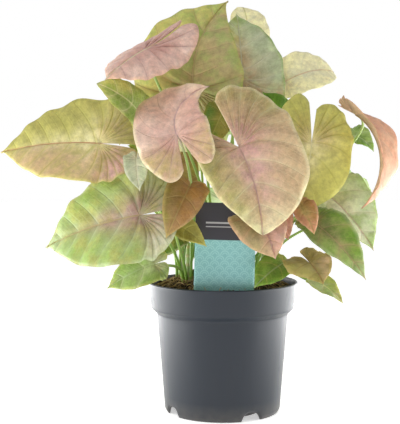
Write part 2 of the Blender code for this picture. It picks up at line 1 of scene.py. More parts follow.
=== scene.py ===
"""Looks of the arrowhead plant in its nursery pot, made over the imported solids.

Every new piece is a surface worked out as whole arrays. A blade is a function of two parameters, its place
along the edge and its share of the way out from the midrib. A stalk is a circle carried along a curve. The
pot and the soil are profiles turned about the Z axis, and the label is a grid.

Lengths are metres, except that a leaf's own numbers are millimetres and degrees, as on a drawing of it.
"""

from dataclasses import dataclass
from functools import partial
from math import pi, radians

import bpy
import numpy as np
from bpy.props import FloatProperty, FloatVectorProperty, IntProperty, PointerProperty
from mathutils import Euler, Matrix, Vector


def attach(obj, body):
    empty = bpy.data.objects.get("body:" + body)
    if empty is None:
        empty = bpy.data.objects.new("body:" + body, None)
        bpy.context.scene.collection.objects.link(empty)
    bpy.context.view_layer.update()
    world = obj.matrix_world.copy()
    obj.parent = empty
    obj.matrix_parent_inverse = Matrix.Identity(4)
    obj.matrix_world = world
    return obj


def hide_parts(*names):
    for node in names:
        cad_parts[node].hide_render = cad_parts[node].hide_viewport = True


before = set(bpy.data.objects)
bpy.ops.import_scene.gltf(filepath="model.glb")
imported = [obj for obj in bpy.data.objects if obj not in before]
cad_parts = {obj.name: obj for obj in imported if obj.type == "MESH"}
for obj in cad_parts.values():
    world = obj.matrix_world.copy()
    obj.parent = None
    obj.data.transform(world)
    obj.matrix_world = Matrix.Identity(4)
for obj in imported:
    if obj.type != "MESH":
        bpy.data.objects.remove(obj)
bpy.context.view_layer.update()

bl_info = {
    "name": "Arrowhead plant",
    "version": (1, 0, 0),
    "blender": (4, 5, 0),
    "location": "3D View > Sidebar > Plant",
    "description": "Grows the leaves, stems, soil, pot and label of a potted arrowhead plant",
    "category": "Object",
}

MM = 0.001

# Leaf construction, as in the solids. EDGE_WAVE is in mm, NO_BEND is the angle in degrees that stands for
# none at all, and HALF_EDGE runs from the tip to the notch, as shares of the length, or behind the joint of
# the lobe, and of the half's width.
VEIN_SLANT = 0.70
EDGE_WAVES = 2.5
EDGE_WAVE = 1.5
NO_BEND = 0.01
LENGTH_PASSES = 6
HALF_EDGE = (
    (1.00, 0.00), (0.94, 0.055), (0.83, 0.27), (0.63, 0.64), (0.37, 0.92), (0.06, 1.00),
    (-0.28, 0.98), (-0.66, 0.80), (-0.92, 0.52), (-1.00, 0.32), (-0.97, 0.16), (-0.86, 0.05),
)

# The fine blades: a side vein for each 7 mm of length, 6 to 14 of them; the gap in mm between two from which
# the tissue is puffed up in full; the arch of a vein; the cell of the soft swells; the ripples along an edge;
# half the midrib groove's width; and the mesh's rows, one a mm, and columns, one each 5.5 mm of width.
VEIN_GAP = 7
VEIN_LIMITS = (6, 14)
FULL_QUILT_GAP = 6.0
VEIN_ARCH = 0.10
SWELL_CELL = 0.022
EDGE_RIPPLES = 9
GROOVE_HALF = 0.0015
ROW_LIMITS = (30, 104)
COLUMN_WIDTH = 5.5
COLUMN_LIMITS = (5, 15)
# Shares of red, green and blue taken away by the painted shade in the folds by the notch.
PAINTED_FOLD_SHADE = (0.22, 0.36, 0.34)

# Stems and stalks, as in the solids.
FIT_GAP = 0.0003
STEM_FOOT_RADIUS = 0.0030
STEM_TOP_RADIUS = 0.0022
STEM_HEIGHT = 0.0300
STALK_FOOT_RADIUS = 0.0015
STALK_TIP_RADIUS = 0.0010
STALK_RING_RADIUS = STEM_FOOT_RADIUS + STALK_FOOT_RADIUS + FIT_GAP
STALK_SPACING = radians(42)
SPACING_PASSES = 60
STALK_ENTRY = (-0.62, 0.0, -0.78)
HOLE_FLOOR = 0.0930
SHOOTS = {
    "front_left": (-27, -17), "front_right": (19, -21), "left": (-32, 9), "right": (33, 3),
    "middle": (-3, 1), "back_left": (-15, 29), "back_right": (16, 26),
}

# The fine stalks and stems: points round them, depth of their channel as a share of the radius, where along
# the blade a stalk runs on as the midrib, how far under the blade's middle that lies, the length over which
# a stem closes, and the spacing and swelling of its nodes.
STALK_SIDES = 10
STALK_CHANNEL = 0.22
RIB_FROM, RIB_TO, RIB_RINGS = 0.03, 0.88, 22
RIB_DEPTH = 0.0004
STEM_RINGS = 70
STEM_SIDES = 20
STEM_CHANNEL = 0.06
STEM_TAPER = 0.012
NODE_PITCH = 0.0070
NODE_SWELL = 0.10

# Pot and soil, as in the solids.
POT_HEIGHT = 0.104
RIM_RADIUS = 0.060
BAND_HEIGHT = 0.0215
BAND_FOOT_RADIUS = 0.0567
BAND_STEP = 0.0035
BAND_WALL = 0.0019
EDGE_ROUND = 0.0006
FOOT_ROUND = 0.0030
BODY_TOP_RADIUS = 0.0523
BODY_FOOT_RADIUS = 0.0460
WALL = 0.0012
BASE_PLATE_RADIUS = 0.0300
MOAT_INNER_RADIUS = 0.0335
MOAT_OUTER_RADIUS = 0.0437
MOAT_HEIGHT = 0.0070
NOTCH_COUNT = 4
NOTCH_FIRST_ANGLE = radians(-151)
NOTCH_RADIUS = 0.0090
NOTCH_DROP = 0.0020
SOIL_EDGE_HEIGHT = 0.0975
SOIL_MOUND = 0.0165
SOIL_LUMP = 0.0012
SOIL_LUMP_LENGTH = 0.0200

# The label, as in the solids.
LABEL_WIDTH = 0.0460
LABEL_TOP = 0.1690
LABEL_SHOULDER = 0.0930
LABEL_POINT = 0.0500
LABEL_POINT_LENGTH = 0.0160
LABEL_NECK = 0.0120
LABEL_STAKE_HALF = 0.0090
LABEL_THICKNESS = 0.0008
LABEL_CORNER = 0.0060
LABEL_X = -0.0025
LABEL_Y = -0.0440
LABEL_LEAN = radians(1.5)
# The fine label: its bow, its columns, and how far behind its foot the soil is kept clear of crumbs.
LABEL_BOW = 0.0008
LABEL_COLUMNS = 25
STRIP_DEPTH = 0.003

# Loose bits on the soil: the reach of each kind and the smallest and largest of its sizes.
CRUMB_REACH = 0.0535
CRUMB_SIZES = (0.0005, 0.0021)
FIBRE_REACH = 0.0500
FIBRE_LIMIT = 0.0545
FIBRE_LENGTHS = (0.006, 0.022)
FIBRE_HUMPS = (0.0002, 0.0030)
FIBRE_RADII = (0.00016, 0.00042)
FIBRE_RINGS = 9

# The camera of the main picture.
CAMERA_PLACE = (-0.018, -0.900, 0.218)
CAMERA_TILT = 86.26
CAMERA_LENS = 96.1
CAMERA_SENSOR = 36
# The stage: the floor's size and how far it lies under the pot, the point that the lights face, and the Y of
# the directions between which the surround changes from its front to its back strength.
FLOOR_SIZE = 6
FLOOR_DROP = 0.0002
LIGHT_AIM = (0, 0, 0.05)
SURROUND_CHANGE = (-0.6, 0.95)

# Steps round the turned surfaces, and the cells and heights in mm of the soil's relief.
POT_STEPS = 180
SOIL_STEPS = 220
SOIL_RINGS = 76
SOIL_RELIEF = ((6.0, 0.9), (2.6, 0.7), (1.2, 0.35))

# Settings that many shader nodes share.
TIMES = {"operation": "MULTIPLY"}
TIMES_PLUS = {"operation": "MULTIPLY_ADD"}
BLENDED = {"data_type": "RGBA"}
SHADED = {"data_type": "RGBA", "blend_type": "MULTIPLY"}
SMOOTH = {"interpolation_type": "SMOOTHSTEP"}
# Nearly all the values of a noise lie in this range.
NOISE_RANGE = (0.3, 0.7)
# Live tissue: light goes about 1.5 mm into it, and red the furthest.
TISSUE = {"Subsurface_Weight": 0.12, "Subsurface_Scale": 0.0015, "Subsurface_Radius": (0.9, 0.7, 0.3)}


@dataclass
class Leaf:
    """One leaf: its place and bend as in the solids, in millimetres and degrees, and its finish.

    joint, tip and facing place it. skin names the colours of its left half, right half, heart, left lobe,
    right lobe, margin, midrib, side veins and blotches. Pairs give the left half's number, then the right's:
    widths at the widest, lobes' lengths, folds up from the midrib, and gape of the notch. The midrib bends
    down by bend, turns sideways by swing and twists by twist, and the lobes bend by lobe_bend. skew moves
    the widest place, and blunt rounds the tip. The stalk's curve has rise, hook and bow. quilt scales the
    relief and heart the reach of the heart's colour.
    """

    name: str
    slot: str
    shoot: str
    joint: tuple
    tip: tuple
    facing: tuple
    skin: str
    widths: tuple
    lobes: tuple
    folds: tuple = (12, 12)
    bend: float = 35
    lobe_bend: float = 10
    swing: float = 0
    skew: float = 0
    twist: float = 0
    rise: float = 0.40
    hook: float = 0.30
    bow: tuple = (0, 0)
    gape: tuple = (0, 0)
    blunt: float = 0
    quilt: float = 1.0
    heart: float = 0.5


LEAVES = (
    Leaf("leaf_left_large", "olive", "left", (-96, -30, 214), (-176, 2, 206), (-0.1, -0.8, 0.55),
         "tan olive cream rose dusk yellow salmon yellow olive", (37, 38), (33, 37), folds=(5, 8),
         bend=30, heart=0.16),
    Leaf("leaf_left_curled", "green", "left", (-66, -50, 240), (-94, -64, 258), (-0.2, -0.85, 0.5),
         "green yellow green moss green yellow cream cream bright", (17, 14), (14, 12), twist=30, bend=60,
         bow=(24, -10), blunt=0.6, quilt=1.2),
    Leaf("leaf_pink_top", "pink", "middle", (-59, -60, 283), (-85, -98, 259), (0.21, -0.57, 0.8),
         "blush blush pink blush pink peach cream mauve pink", (28, 24), (62, 62), folds=(-8, -38),
         bend=20, lobe_bend=-16, quilt=2.2),
    # The moss of its left lobe and the dusk of its heart are painted shadow, cast by leaf_pink_top above.
    Leaf("leaf_top_centre", "olive", "middle", (-24, 2, 258), (5, 26, 328), (-0.05, -0.9, 0.4),
         "yellow dusk dusk moss dusk yellow tan tan green", (46, 42), (43, 22), folds=(4, 8), bend=40,
         lobe_bend=35, swing=-40, skew=0.15, quilt=1.5),
    Leaf("leaf_grey_top", "pale", "middle", (16, 14, 265), (12, 38, 320), (0.2, -0.9, 0.4),
         "olive sage tan sage tan bright white white mint", (28, 34), (22, 36), bend=25, lobe_bend=30,
         quilt=0.8, heart=0.3),
    Leaf("leaf_back_pale_top", "cream", "back_right", (20, 50, 295), (18, 66, 328), (0.3, -0.7, 0.5),
         "cream cream cream cream cream cream yellow white cream", (18, 20), (20, 20), bend=75, blunt=0.5,
         quilt=0.5),
    Leaf("leaf_back_pale_right", "cream", "back_right", (55, 48, 266), (96, 70, 274), (0.0, -0.8, 0.6),
         "cream cream white cream cream cream peach white cream", (20, 21), (18, 18), bend=60, blunt=0.8,
         quilt=0.7),
    Leaf("leaf_pink_centre", "pink", "front_left", (-35, -76, 221), (-11, -60, 256), (-0.25, -0.85, 0.4),
         "blush pink blush gold gold cream lilac blush pink", (31, 25), (34, 32), lobe_bend=15,
         swing=-105, gape=(0.2, 0.25), quilt=1.6, heart=0.3),
    Leaf("leaf_big_centre", "olive", "front_right", (11, -66, 211), (27, -88, 148), (0.0, -1.0, 0.15),
         "tan olive rose moss dusk cream rose cream tan", (43, 33), (59, 27), folds=(8, 8), bend=30,
         lobe_bend=15, swing=-22, skew=0.05, gape=(0, 0.6), blunt=0.45, quilt=1.5, heart=0.6),
    Leaf("leaf_right_olive", "olive", "right", (68, -26, 214), (43, -34, 158), (0.1, -1.0, 0.1),
         "yellow olive cream yellow yellow yellow cream yellow olive", (32, 30), (34, 40), bend=30,
         swing=-35, gape=(0.08, 0.05), heart=0.2),
    Leaf("leaf_right_curl", "pink", "back_right", (97, -48, 237), (102, -60, 166), (0.8, -0.5, 0.3),
         "peach peach umber salmon umber salmon umber peach salmon", (30, 12), (18, 10), folds=(4, 40),
         bend=110, skew=0.4, rise=0.5, hook=0.15, bow=(52, 10), heart=0.25),
    Leaf("leaf_right_back_green", "green", "back_right", (104, 14, 220), (121, 8, 207), (0.4, -0.7, 0.6),
         "green bright green green green bright mint mint deep", (12, 12), (10, 10), bend=70,
         bow=(0, -10)),
    Leaf("leaf_right_pale", "pale", "right", (83, -12, 173), (116, -30, 131), (0.3, -0.8, 0.5),
         "mint white white white white green rose white green", (30, 24), (14, 16), bow=(0, 8),
         quilt=1.2),
    Leaf("leaf_right_green", "green", "right", (70, -44, 153), (105, -68, 113), (0.3, -0.8, 0.5),
         "bright green dusk bright olive mint tan tan deep", (20, 18), (14, 13), heart=0.4),
    Leaf("leaf_right_small", "olive", "right", (64, -66, 125), (72, -82, 112), (0.1, -0.8, 0.6),
         "tan olive dusk tan dusk gold umber gold moss", (15, 22), (24, 14), bend=30, rise=0.2,
         bow=(8, -6)),
    Leaf("leaf_right_low", "green", "front_right", (45, -45, 123), (22, -61, 106), (0.0, -0.7, 0.7),
         "bright bright green green olive bright mint yellow deep", (14, 14), (9, 7)),
    Leaf("leaf_right_tip", "green", "right", (73, -30, 107), (91, -46, 92), (0.2, -0.7, 0.7),
         "yellow mint mint mint mint yellow cream white green", (9, 9), (9, 9), bow=(4, 4)),
    Leaf("leaf_pink_low", "pink", "front_right", (27, -70, 158), (37, -80, 130), (0.0, -0.9, 0.4),
         "pink dusk pink tan dusk peach rose peach dusk", (17, 24), (13, 18), bend=85, rise=0.3,
         bow=(10, 0), quilt=1.6),
    Leaf("leaf_salmon", "rust", "front_right", (41, -44, 162), (49, -48, 141), (0.0, -0.9, 0.4),
         "salmon salmon rose salmon rust peach rose peach pink", (10, 15), (7, 10), rise=0.3, bow=(2, 4)),
    Leaf("leaf_orange_tip", "rust", "right", (57, -66, 167), (66, -72, 147), (0.2, -0.9, 0.4),
         "rust rust gold rust rust peach gold gold salmon", (10, 9), (7, 6), rise=0.22, hook=0.2,
         bow=(10, -8)),
    Leaf("leaf_left_green", "green", "front_left", (-63, -62, 161), (-136, -30, 133), (-0.2, -0.8, 0.55),
         "green green mauve white mint mint tan mint olive", (42, 40), (27, 28), folds=(6, 8),
         lobe_bend=25, bow=(-6, 0), quilt=1.2, heart=0.3),
    Leaf("leaf_left_pale", "pale", "left", (-65, -62, 202), (-62, -73, 179), (-0.2, -0.9, 0.4),
         "mint sage white sage mint white white white sage", (10, 10), (9, 9), rise=0.65, bow=(8, 4),
         quilt=0.6),
    Leaf("leaf_left_low", "green", "front_left", (-53, -52, 123), (-88, -48, 104), (-0.2, -0.8, 0.6),
         "green green mint mint olive yellow mint white bright", (19, 15), (10, 12)),
    Leaf("leaf_orange_centre", "rust", "front_left", (-26, -64, 182), (-43, -82, 145), (0.1, -0.9, 0.4),
         "rust moss rust rust moss gold gold gold umber", (16, 16), (8, 6), bow=(7, 0), heart=0.3),
    Leaf("leaf_low_olive", "olive", "front_left", (-34, -58, 153), (-13, -68, 138), (0.0, -0.8, 0.6),
         "olive moss olive olive moss yellow yellow yellow moss", (9, 10), (10, 10), bow=(-2, 0)),
    # Set deep among the others; its moss and umber are painted shade.
    Leaf("leaf_dark_centre", "deep", "middle", (-37, 14, 194), (-29, 14, 164), (-0.1, -0.9, 0.4),
         "moss moss umber moss umber moss moss moss umber", (18, 18), (12, 12)),
    Leaf("leaf_inner_green", "deep", "middle", (49, 0, 232), (31, -8, 254), (0.0, -0.8, 0.6),
         "deep deep bright deep deep bright bright bright deep", (14, 14), (12, 12), bow=(0, 4)),
    Leaf("leaf_dark_upper", "deep", "middle", (-1, -14, 237), (-13, -20, 209), (0.0, -0.9, 0.4),
         "moss deep moss moss moss moss olive olive deep", (13, 13), (10, 10), bow=(8, -4)),
    Leaf("leaf_low_dark", "deep", "left", (-37, -6, 139), (-56, -10, 123), (0.0, -0.8, 0.6),
         "deep moss moss moss moss cream olive olive deep", (12, 11), (8, 8)),
    Leaf("leaf_lime_small", "green", "left", (-68, -4, 209), (-75, -8, 212), (0.0, -0.8, 0.6),
         "bright bright bright bright bright yellow yellow yellow bright", (4, 4), (4, 4),
         gape=(0.3, 0.3)),
    Leaf("leaf_back_1", "olive", "back_left", (-48, 45, 232), (-88, 80, 212), (-0.3, 0.3, 0.9),
         "olive dusk pink dusk tan yellow rose yellow tan", (34, 34), (38, 38), heart=0.6),
    Leaf("leaf_back_2", "green", "back_left", (-22, 84, 212), (-38, 130, 168), (-0.2, 0.7, 0.6),
         "green olive tan mint green bright rose yellow yellow", (34, 30), (38, 38), quilt=1.2),
    Leaf("leaf_back_3", "olive", "back_right", (44, 96, 208), (60, 138, 164), (0.2, 0.7, 0.6),
         "pink tan rose tan dusk peach rose tan olive", (30, 34), (30, 30), quilt=1.2, heart=0.6),
    Leaf("leaf_back_4", "green", "back_right", (88, 58, 182), (128, 88, 150), (0.4, 0.4, 0.8),
         "green mint white mint green bright rose white bright", (32, 30), (20, 20), heart=0.4),
    Leaf("leaf_back_5", "green", "back_left", (-72, 38, 172), (-112, 70, 146), (-0.4, 0.3, 0.8),
         "olive olive tan yellow dusk yellow rose yellow tan", (28, 28), (26, 26), heart=0.4),
    Leaf("leaf_back_6", "green", "back_left", (2, 68, 165), (2, 105, 125), (0.0, 0.8, 0.6),
         "bright green mint green green bright mint mint deep", (26, 26), (20, 20)),
)


def linear(hex_colour):
    """An sRGB colour written as #rrggbb, as linear RGB."""
    parts = [int(hex_colour[i:i + 2], 16) / 255 for i in (1, 3, 5)]
    return [c / 12.92 if c <= 0.04045 else ((c + 0.055) / 1.055) ** 2.4 for c in parts]


def colour(name, description, hex_colour):
    """A colour that a user may change, given as sRGB hex."""
    return FloatVectorProperty(
        name=name, description=description, default=linear(hex_colour), subtype="COLOR", min=0, max=1
    )


def length(name, description, metres):
    """A length that a user may change."""
    return FloatProperty(name=name, description=description, default=metres, unit="LENGTH", precision=5)


def amount(name, description, default, measure="NONE"):
    """A number from 0 up that a user may change."""
    return FloatProperty(name=name, description=description, default=default, unit=measure, min=0)


class LeafColours(bpy.types.PropertyGroup):
    """Colours of live leaf tissue, from which each leaf's finish is chosen."""

    olive: colour("Olive", "Olive green of an ageing blade", "#b2ad5f")
    dusk: colour("Dusk olive", "Olive with brown in it", "#a99c6b")
    moss: colour("Moss", "Dark olive of a shaded lobe", "#8f8838")
    yellow: colour("Yellow green", "Yellow green of a thin blade", "#cac76c")
    green: colour("Green", "Fresh mid green", "#97b35a")
    bright: colour("Bright green", "Saturated green of a lit young blade", "#7fa63a")
    deep: colour("Deep green", "Deep green of an inner leaf", "#4f7a1f")
    sage: colour("Sage", "Grey green of a matte blade", "#a9b490")
    mint: colour("Mint", "Pale green of a washed-out blade", "#c5d3a6")
    white: colour("Ivory", "Ivory of variegated tissue", "#dfdcc0")
    cream: colour("Cream", "Pale yellow of a thin blade with light behind it", "#fbf3c2")
    pink: colour("Pink", "Dusty pink of a young blade", "#d5a999")
    blush: colour("Blush", "Pale pink of a thin young blade", "#efd0c0")
    rose: colour("Rose", "Lilac pink along a midrib", "#d6a6a4")
    tan: colour("Tan", "Pink tan between pink and olive", "#c9ac84")
    peach: colour("Peach", "Peach of the outermost blade", "#e3b391")
    salmon: colour("Salmon", "Salmon of a small blade", "#d8977a")
    rust: colour("Rust", "Orange brown of a blade lit from behind", "#a97a3c")
    gold: colour("Gold", "Yellow tan of a lobe", "#c4ae6c")
    umber: colour("Umber", "Brown pink of a dark midrib", "#a37c58")
    mauve: colour("Mauve", "Greyed purple of a shaded fold", "#bb9290")
    lilac: colour("Lilac", "Pale lilac of a raised midrib", "#d4adb6")


class LeafShape(bpy.types.PropertyGroup):
    """Sizes of the relief that the fine blades carry."""

    thickness: length("Thickness", "Thickness of the blade between its veins", 0.0005)
    quilt: length("Quilting", "Height of the tissue between two side veins of a large leaf", 0.0025)
    groove: length("Midrib groove", "Depth of the groove over the midrib", 0.0006)
    ripple: length("Ripple", "Height of the small ripples at the edge", 0.0015)
    unevenness: amount("Unevenness", "Share by which the edge wanders", 0.022)
    vein_width: length("Vein width", "Width of a side vein", 0.0011)
    midrib_width: length("Midrib width", "Width of the midrib", 0.0015)


class PotLook(bpy.types.PropertyGroup):
    """Finish of the pot."""

    body: colour("Pot", "Anthracite of the moulded pot", "#161e29")
    dust: colour("Dust", "Dried soil dust on the pot", "#8a8073")
    roughness: amount("Roughness", "Roughness of the pot", 0.35)


class SoilLook(bpy.types.PropertyGroup):
    """Amounts and colours of the potting mix."""

    dark: colour("Peat", "Damp peat", "#2b211a")
    light: colour("Dry peat", "Dry crumbs", "#7a6146")
    fibre: colour("Fibre", "Coir and bark fibres", "#c2a574")
    crumbs: IntProperty(name="Crumbs", description="How many crumbs lie on the soil", default=900)
    fibres: IntProperty(name="Fibres", description="How many fibres lie on the soil", default=420)


class LabelLook(bpy.types.PropertyGroup):
    """Print on the label."""

    dark: colour("Dark field", "Upper field of the label", "#37353d")
    teal: colour("Teal field", "Lower field of the label", "#7fb9bc")
    motif: colour("Motif", "Pale scallops on the teal field", "#9fd2d1")
    mark: colour("Mark", "Pale lines on the dark field", "#c9c8cc")
    border: length("Border height", "Height at which the dark field meets the teal one", 0.1407)
    scallop: length("Scallop width", "Width of one scallop of the motif", 0.0076)


class StageLook(bpy.types.PropertyGroup):
    """Floor and light."""

    floor: colour("Floor", "Pale floor", "#fbfbfa")
    glow: amount("Floor glow", "Light that the floor gives off", 0.52)
    behind: amount("Behind", "Strength of the surround behind", 1.0)
    front: amount("Front", "Strength of the surround in front", 0.16)
    key: amount("Key", "Power of the top light", 6.0, "POWER")
    left: amount("Left", "Power of the left softbox", 2.6, "POWER")
    right: amount("Right", "Power of the right softbox", 2.2, "POWER")


class PlantSettings(bpy.types.PropertyGroup):
    """Everything that a user would change on the plant."""

    colours: PointerProperty(type=LeafColours, name="Leaf colours", description="Colours of the leaves")
    shape: PointerProperty(type=LeafShape, name="Leaf relief", description="Relief of the blades")
    pot: PointerProperty(type=PotLook, name="Pot", description="Finish of the pot")
    soil: PointerProperty(type=SoilLook, name="Soil", description="Potting mix")
    label: PointerProperty(type=LabelLook, name="Label", description="Print on the label")
    stage: PointerProperty(type=StageLook, name="Stage", description="Floor and light")


def unit(vector):
    """The vector at length one."""
    vector = np.asarray(vector, float)
    return vector / np.linalg.norm(vector)


def polar(radius, angle):
    """x and y of the point at that radius and angle."""
    return radius * np.cos(angle), radius * np.sin(angle)


def rotated(x, y, angle):
    """x and y of the point (x, y) turned by the angle."""
    return x * np.cos(angle) - y * np.sin(angle), x * np.sin(angle) + y * np.cos(angle)


def frame_of(x, facing):
    """The frame, as rows, that has the given x and a z as near as can be to the facing."""
    z = unit(facing - x * (facing @ x))
    return np.stack([x, np.cross(z, x), z])


def ease(low, high, value):
    """0 below low, 1 above high, and 3 t^2 - 2 t^3 between them."""
    t = np.clip((value - low) / (high - low), 0, 1)
    return t * t * (3 - 2 * t)


def blend_colours(first, second, weight):
    """first (1 - weight) + second weight, for arrays of colours."""
    weight = np.asarray(weight)[..., None]
    return first * (1 - weight) + np.asarray(second) * weight


def travelled(line):
    """Distance along a line to each of its points."""
    return np.concatenate([[0], np.cumsum(np.linalg.norm(np.diff(line, axis=0), axis=1))])


def smooth_curve(points, count):
    """Catmull-Rom curve through the points, read at count places spaced evenly along its length."""
    fine = 16
    p = np.array([points[0], *points, points[-1]], float)
    u = np.linspace(0, 1, fine, endpoint=False)[:, None, None]
    a, b, c, d = p[:-3], p[1:-2], p[2:-1], p[3:]
    line = 0.5 * (2 * b + (c - a) * u + (2 * a - 5 * b + 4 * c - d) * u**2 + (3 * b - a - 3 * c + d) * u**3)
    line = np.vstack([line.transpose(1, 0, 2).reshape(-1, p.shape[1]), p[-1:]])
    so_far = travelled(line)
    wanted = np.linspace(0, so_far[-1], count)
    return np.stack([np.interp(wanted, so_far, column) for column in line.T], 1)


def lattice_noise(x, y, seed):
    """Smooth noise from -1 to 1 with a cell of one: random heights at whole numbers, eased between them."""
    table = np.random.default_rng(seed).uniform(-1, 1, (64, 64))
    left, low = np.floor(x).astype(int), np.floor(y).astype(int)
    u, v = ease(0, 1, x - left), ease(0, 1, y - low)
    corner = [[table[(left + i) % 64, (low + j) % 64] for j in (0, 1)] for i in (0, 1)]
    near = corner[0][0] * (1 - u) + corner[1][0] * u
    far = corner[0][1] * (1 - u) + corner[1][1] * u
    return near * (1 - v) + far * v


def grid_triangles(rows, columns, wrap=False):
    """Triangles over a grid of rows by columns points, the last column joined to the first if wrap."""
    i, j = np.meshgrid(np.arange(rows - 1), np.arange(columns - (not wrap)), indexing="ij")
    k = (j + 1) % columns
    a, b, c, d = i * columns + j, i * columns + k, (i + 1) * columns + k, (i + 1) * columns + j
    return np.concatenate([np.stack([a, b, c], -1).reshape(-1, 3), np.stack([a, c, d], -1).reshape(-1, 3)])


def fan(ring, pole):
    """Triangles from a closed ring of points to one pole."""
    return np.stack([ring, np.roll(ring, -1), np.full(len(ring), pole)], -1)


@dataclass
class Surface:
    """Points, triangles, the material number of each triangle, and what each point carries."""

    points: np.ndarray
    triangles: np.ndarray
    material: np.ndarray
    carried: dict


def one_finish(points, triangles, carried, material=0):
    """A surface of one material."""
    return Surface(points, triangles, np.full(len(triangles), material), carried)


def put_together(surfaces):
    """One surface that holds several. Every one of them carries the same things."""
    offsets = np.cumsum([0] + [len(s.points) for s in surfaces[:-1]])
    return Surface(
        np.vstack([s.points for s in surfaces]),
        np.vstack([s.triangles + offset for s, offset in zip(surfaces, offsets)]),
        np.concatenate([s.material for s in surfaces]),
        {key: np.concatenate([s.carried[key] for s in surfaces]) for key in surfaces[0].carried},
    )


def add_piece(name, surface, materials, nodes):
    """Makes a mesh object from a surface, at the origin, in the place of the CAD nodes named.

    Something carried becomes a UV map if it is called plan, a colour if it has three numbers a point, and a
    plain value otherwise.
    """
    mesh = bpy.data.meshes.new(name)
    count = len(surface.triangles)
    mesh.vertices.add(len(surface.points))
    mesh.vertices.foreach_set("co", surface.points.astype(np.float32).ravel())
    mesh.loops.add(3 * count)
    mesh.loops.foreach_set("vertex_index", surface.triangles.astype(np.int32).ravel())
    mesh.polygons.add(count)
    mesh.polygons.foreach_set("loop_start", np.arange(0, 3 * count, 3, dtype=np.int32))
    mesh.polygons.foreach_set("material_index", surface.material.astype(np.int32))
    mesh.update(calc_edges=True)
    mesh.shade_smooth()
    for material in materials:
        mesh.materials.append(material)
    for key, values in surface.carried.items():
        if key == "plan":
            corners = values[surface.triangles.ravel()].astype(np.float32)
            mesh.uv_layers.new(name="plan").uv.foreach_set("vector", corners.ravel())
        elif values.ndim == 2:
            filled = np.hstack([values, np.ones((len(values), 1))]).astype(np.float32)
            mesh.attributes.new(key, "FLOAT_COLOR", "POINT").data.foreach_set("color", filled.ravel())
        else:
            mesh.attributes.new(key, "FLOAT", "POINT").data.foreach_set("value", values.astype(np.float32))
    piece = bpy.data.objects.new(name, mesh)
    bpy.context.scene.collection.objects.link(piece)
    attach(piece, "root")
    if nodes:
        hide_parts(*nodes)
    return piece


def turned(profile, steps):
    """The points of a profile of (radius, height) turned about Z, and the angles of the steps.

    Point (i, k) is (r_i cos t_k, r_i sin t_k, z_i) with t_k = 2 pi k / steps.
    """
    angle = np.arange(steps) * 2 * pi / steps
    radius, height = profile[:, :1], profile[:, 1:]
    return np.stack([*polar(radius, angle), height + 0 * angle], -1), angle


def tube(line, radii, sides, channel):
    """A circle carried along a line, with rounded ends: points, triangles, and each point's ring and turn.

    Ring i is centre_i + r_i (cos t a_i + sin t b_i), where a and b are square to the line and are carried
    along it without turning about it. The channel makes a shallow groove along t = 0: r is less there by
    channel exp(-(t / 0.6)^2). A point's turn is its t as a share of the whole.
    """
    tangents = np.gradient(line, axis=0)
    tangents /= np.linalg.norm(tangents, axis=1)[:, None]
    across = unit(np.cross(tangents[0], (0.31, 0.95, 0.05)))
    frames = []
    for tangent in tangents:
        across = unit(across - tangent * (across @ tangent))
        frames.append(across)
    a = np.array(frames)[:, None, :]
    b = np.cross(tangents, frames)[:, None, :]
    t = (np.arange(sides) * 2 * pi / sides)[None, :, None]
    dip = 1 - channel * np.exp(-(np.minimum(t, 2 * pi - t) / 0.6) ** 2)
    r = np.asarray(radii, float)[:, None, None] * dip
    rings = line[:, None, :] + r * (np.cos(t) * a + np.sin(t) * b)
    count = len(line)
    ends = np.stack([line[0] - tangents[0] * radii[0] * 0.5, line[-1] + tangents[-1] * radii[-1] * 0.5])
    first, last = np.arange(sides), (count - 1) * sides + np.arange(sides)
    triangles = np.vstack([
        grid_triangles(count, sides, wrap=True),
        fan(first[::-1], count * sides),
        fan(last, count * sides + 1),
    ])
    ring = np.concatenate([np.repeat(np.arange(count), sides), [0, count - 1]])
    turn = np.concatenate([np.tile(np.arange(sides) / sides, count), [0, 0]])
    return np.vstack([rings.reshape(-1, 3), ends]), triangles, ring, turn


def soil_height(x, y):
    """Height of the soil's top: a mound that falls to the pot's edge, with the solids' shallow lumps."""
    share = np.minimum((x**2 + y**2) / BAND_FOOT_RADIUS**2, 1.0)
    turn = 2 * pi / SOIL_LUMP_LENGTH
    lumps = np.sin(turn * x + 1.3) * np.cos(turn * y + 0.4) + 0.6 * np.sin(1.6 * turn * (x + y) + 2.0)
    return SOIL_EDGE_HEIGHT + SOIL_MOUND * (1 - share) ** 1.3 + SOIL_LUMP * lumps * (1 - share)


def of_half(side, pair):
    """The first of the pair where side is 1, on the left half, and the second where it is -1."""
    return np.where(side > 0, *pair)


def bent_blade(leaf, length, side, near, place, along, across, relief):
    """Points of the curved blade in its own frame: x to the tip, y to the left, z out of the upper face.

    Each half is raised by its fold, waved along its edge and twisted along the midrib, so that
    raised = across sin(fold) + wave near^2 sin(pi place) sin(2 pi waves place + side) + relief. The midrib
    then turns within the blade's plane by swing, and bends out of it by bend; lobe_bend bends the lobes.
    """
    fold = np.radians(of_half(side, leaf.folds))
    lobe = of_half(side, leaf.lobes) * MM
    along_edge = np.sin(2 * pi * EDGE_WAVES * place + side * 1.1) * np.sin(pi * place)
    sideways = side * across * np.cos(fold)
    raised = across * np.sin(fold) + EDGE_WAVE * MM * near**2 * along_edge + relief
    turn = radians(leaf.twist) * along / length
    sideways, raised = rotated(sideways, raised, turn)
    swing_rate = radians(leaf.swing or NO_BEND) / length
    heading = swing_rate * np.maximum(along, 0)
    forward = np.sin(heading) / swing_rate + np.minimum(along, 0) - sideways * np.sin(heading)
    y = (1 - np.cos(heading)) / swing_rate + sideways * np.cos(heading)
    ahead, behind = radians(leaf.bend or NO_BEND) / length, radians(leaf.lobe_bend or NO_BEND) / lobe
    bend_rate = np.where(forward > 0, ahead, behind)
    angle = bend_rate * forward
    x = np.sin(angle) / bend_rate + raised * np.sin(angle)
    z = -(1 - np.cos(angle)) / bend_rate + raised * np.cos(angle)
    return np.stack([x, y, z], -1)


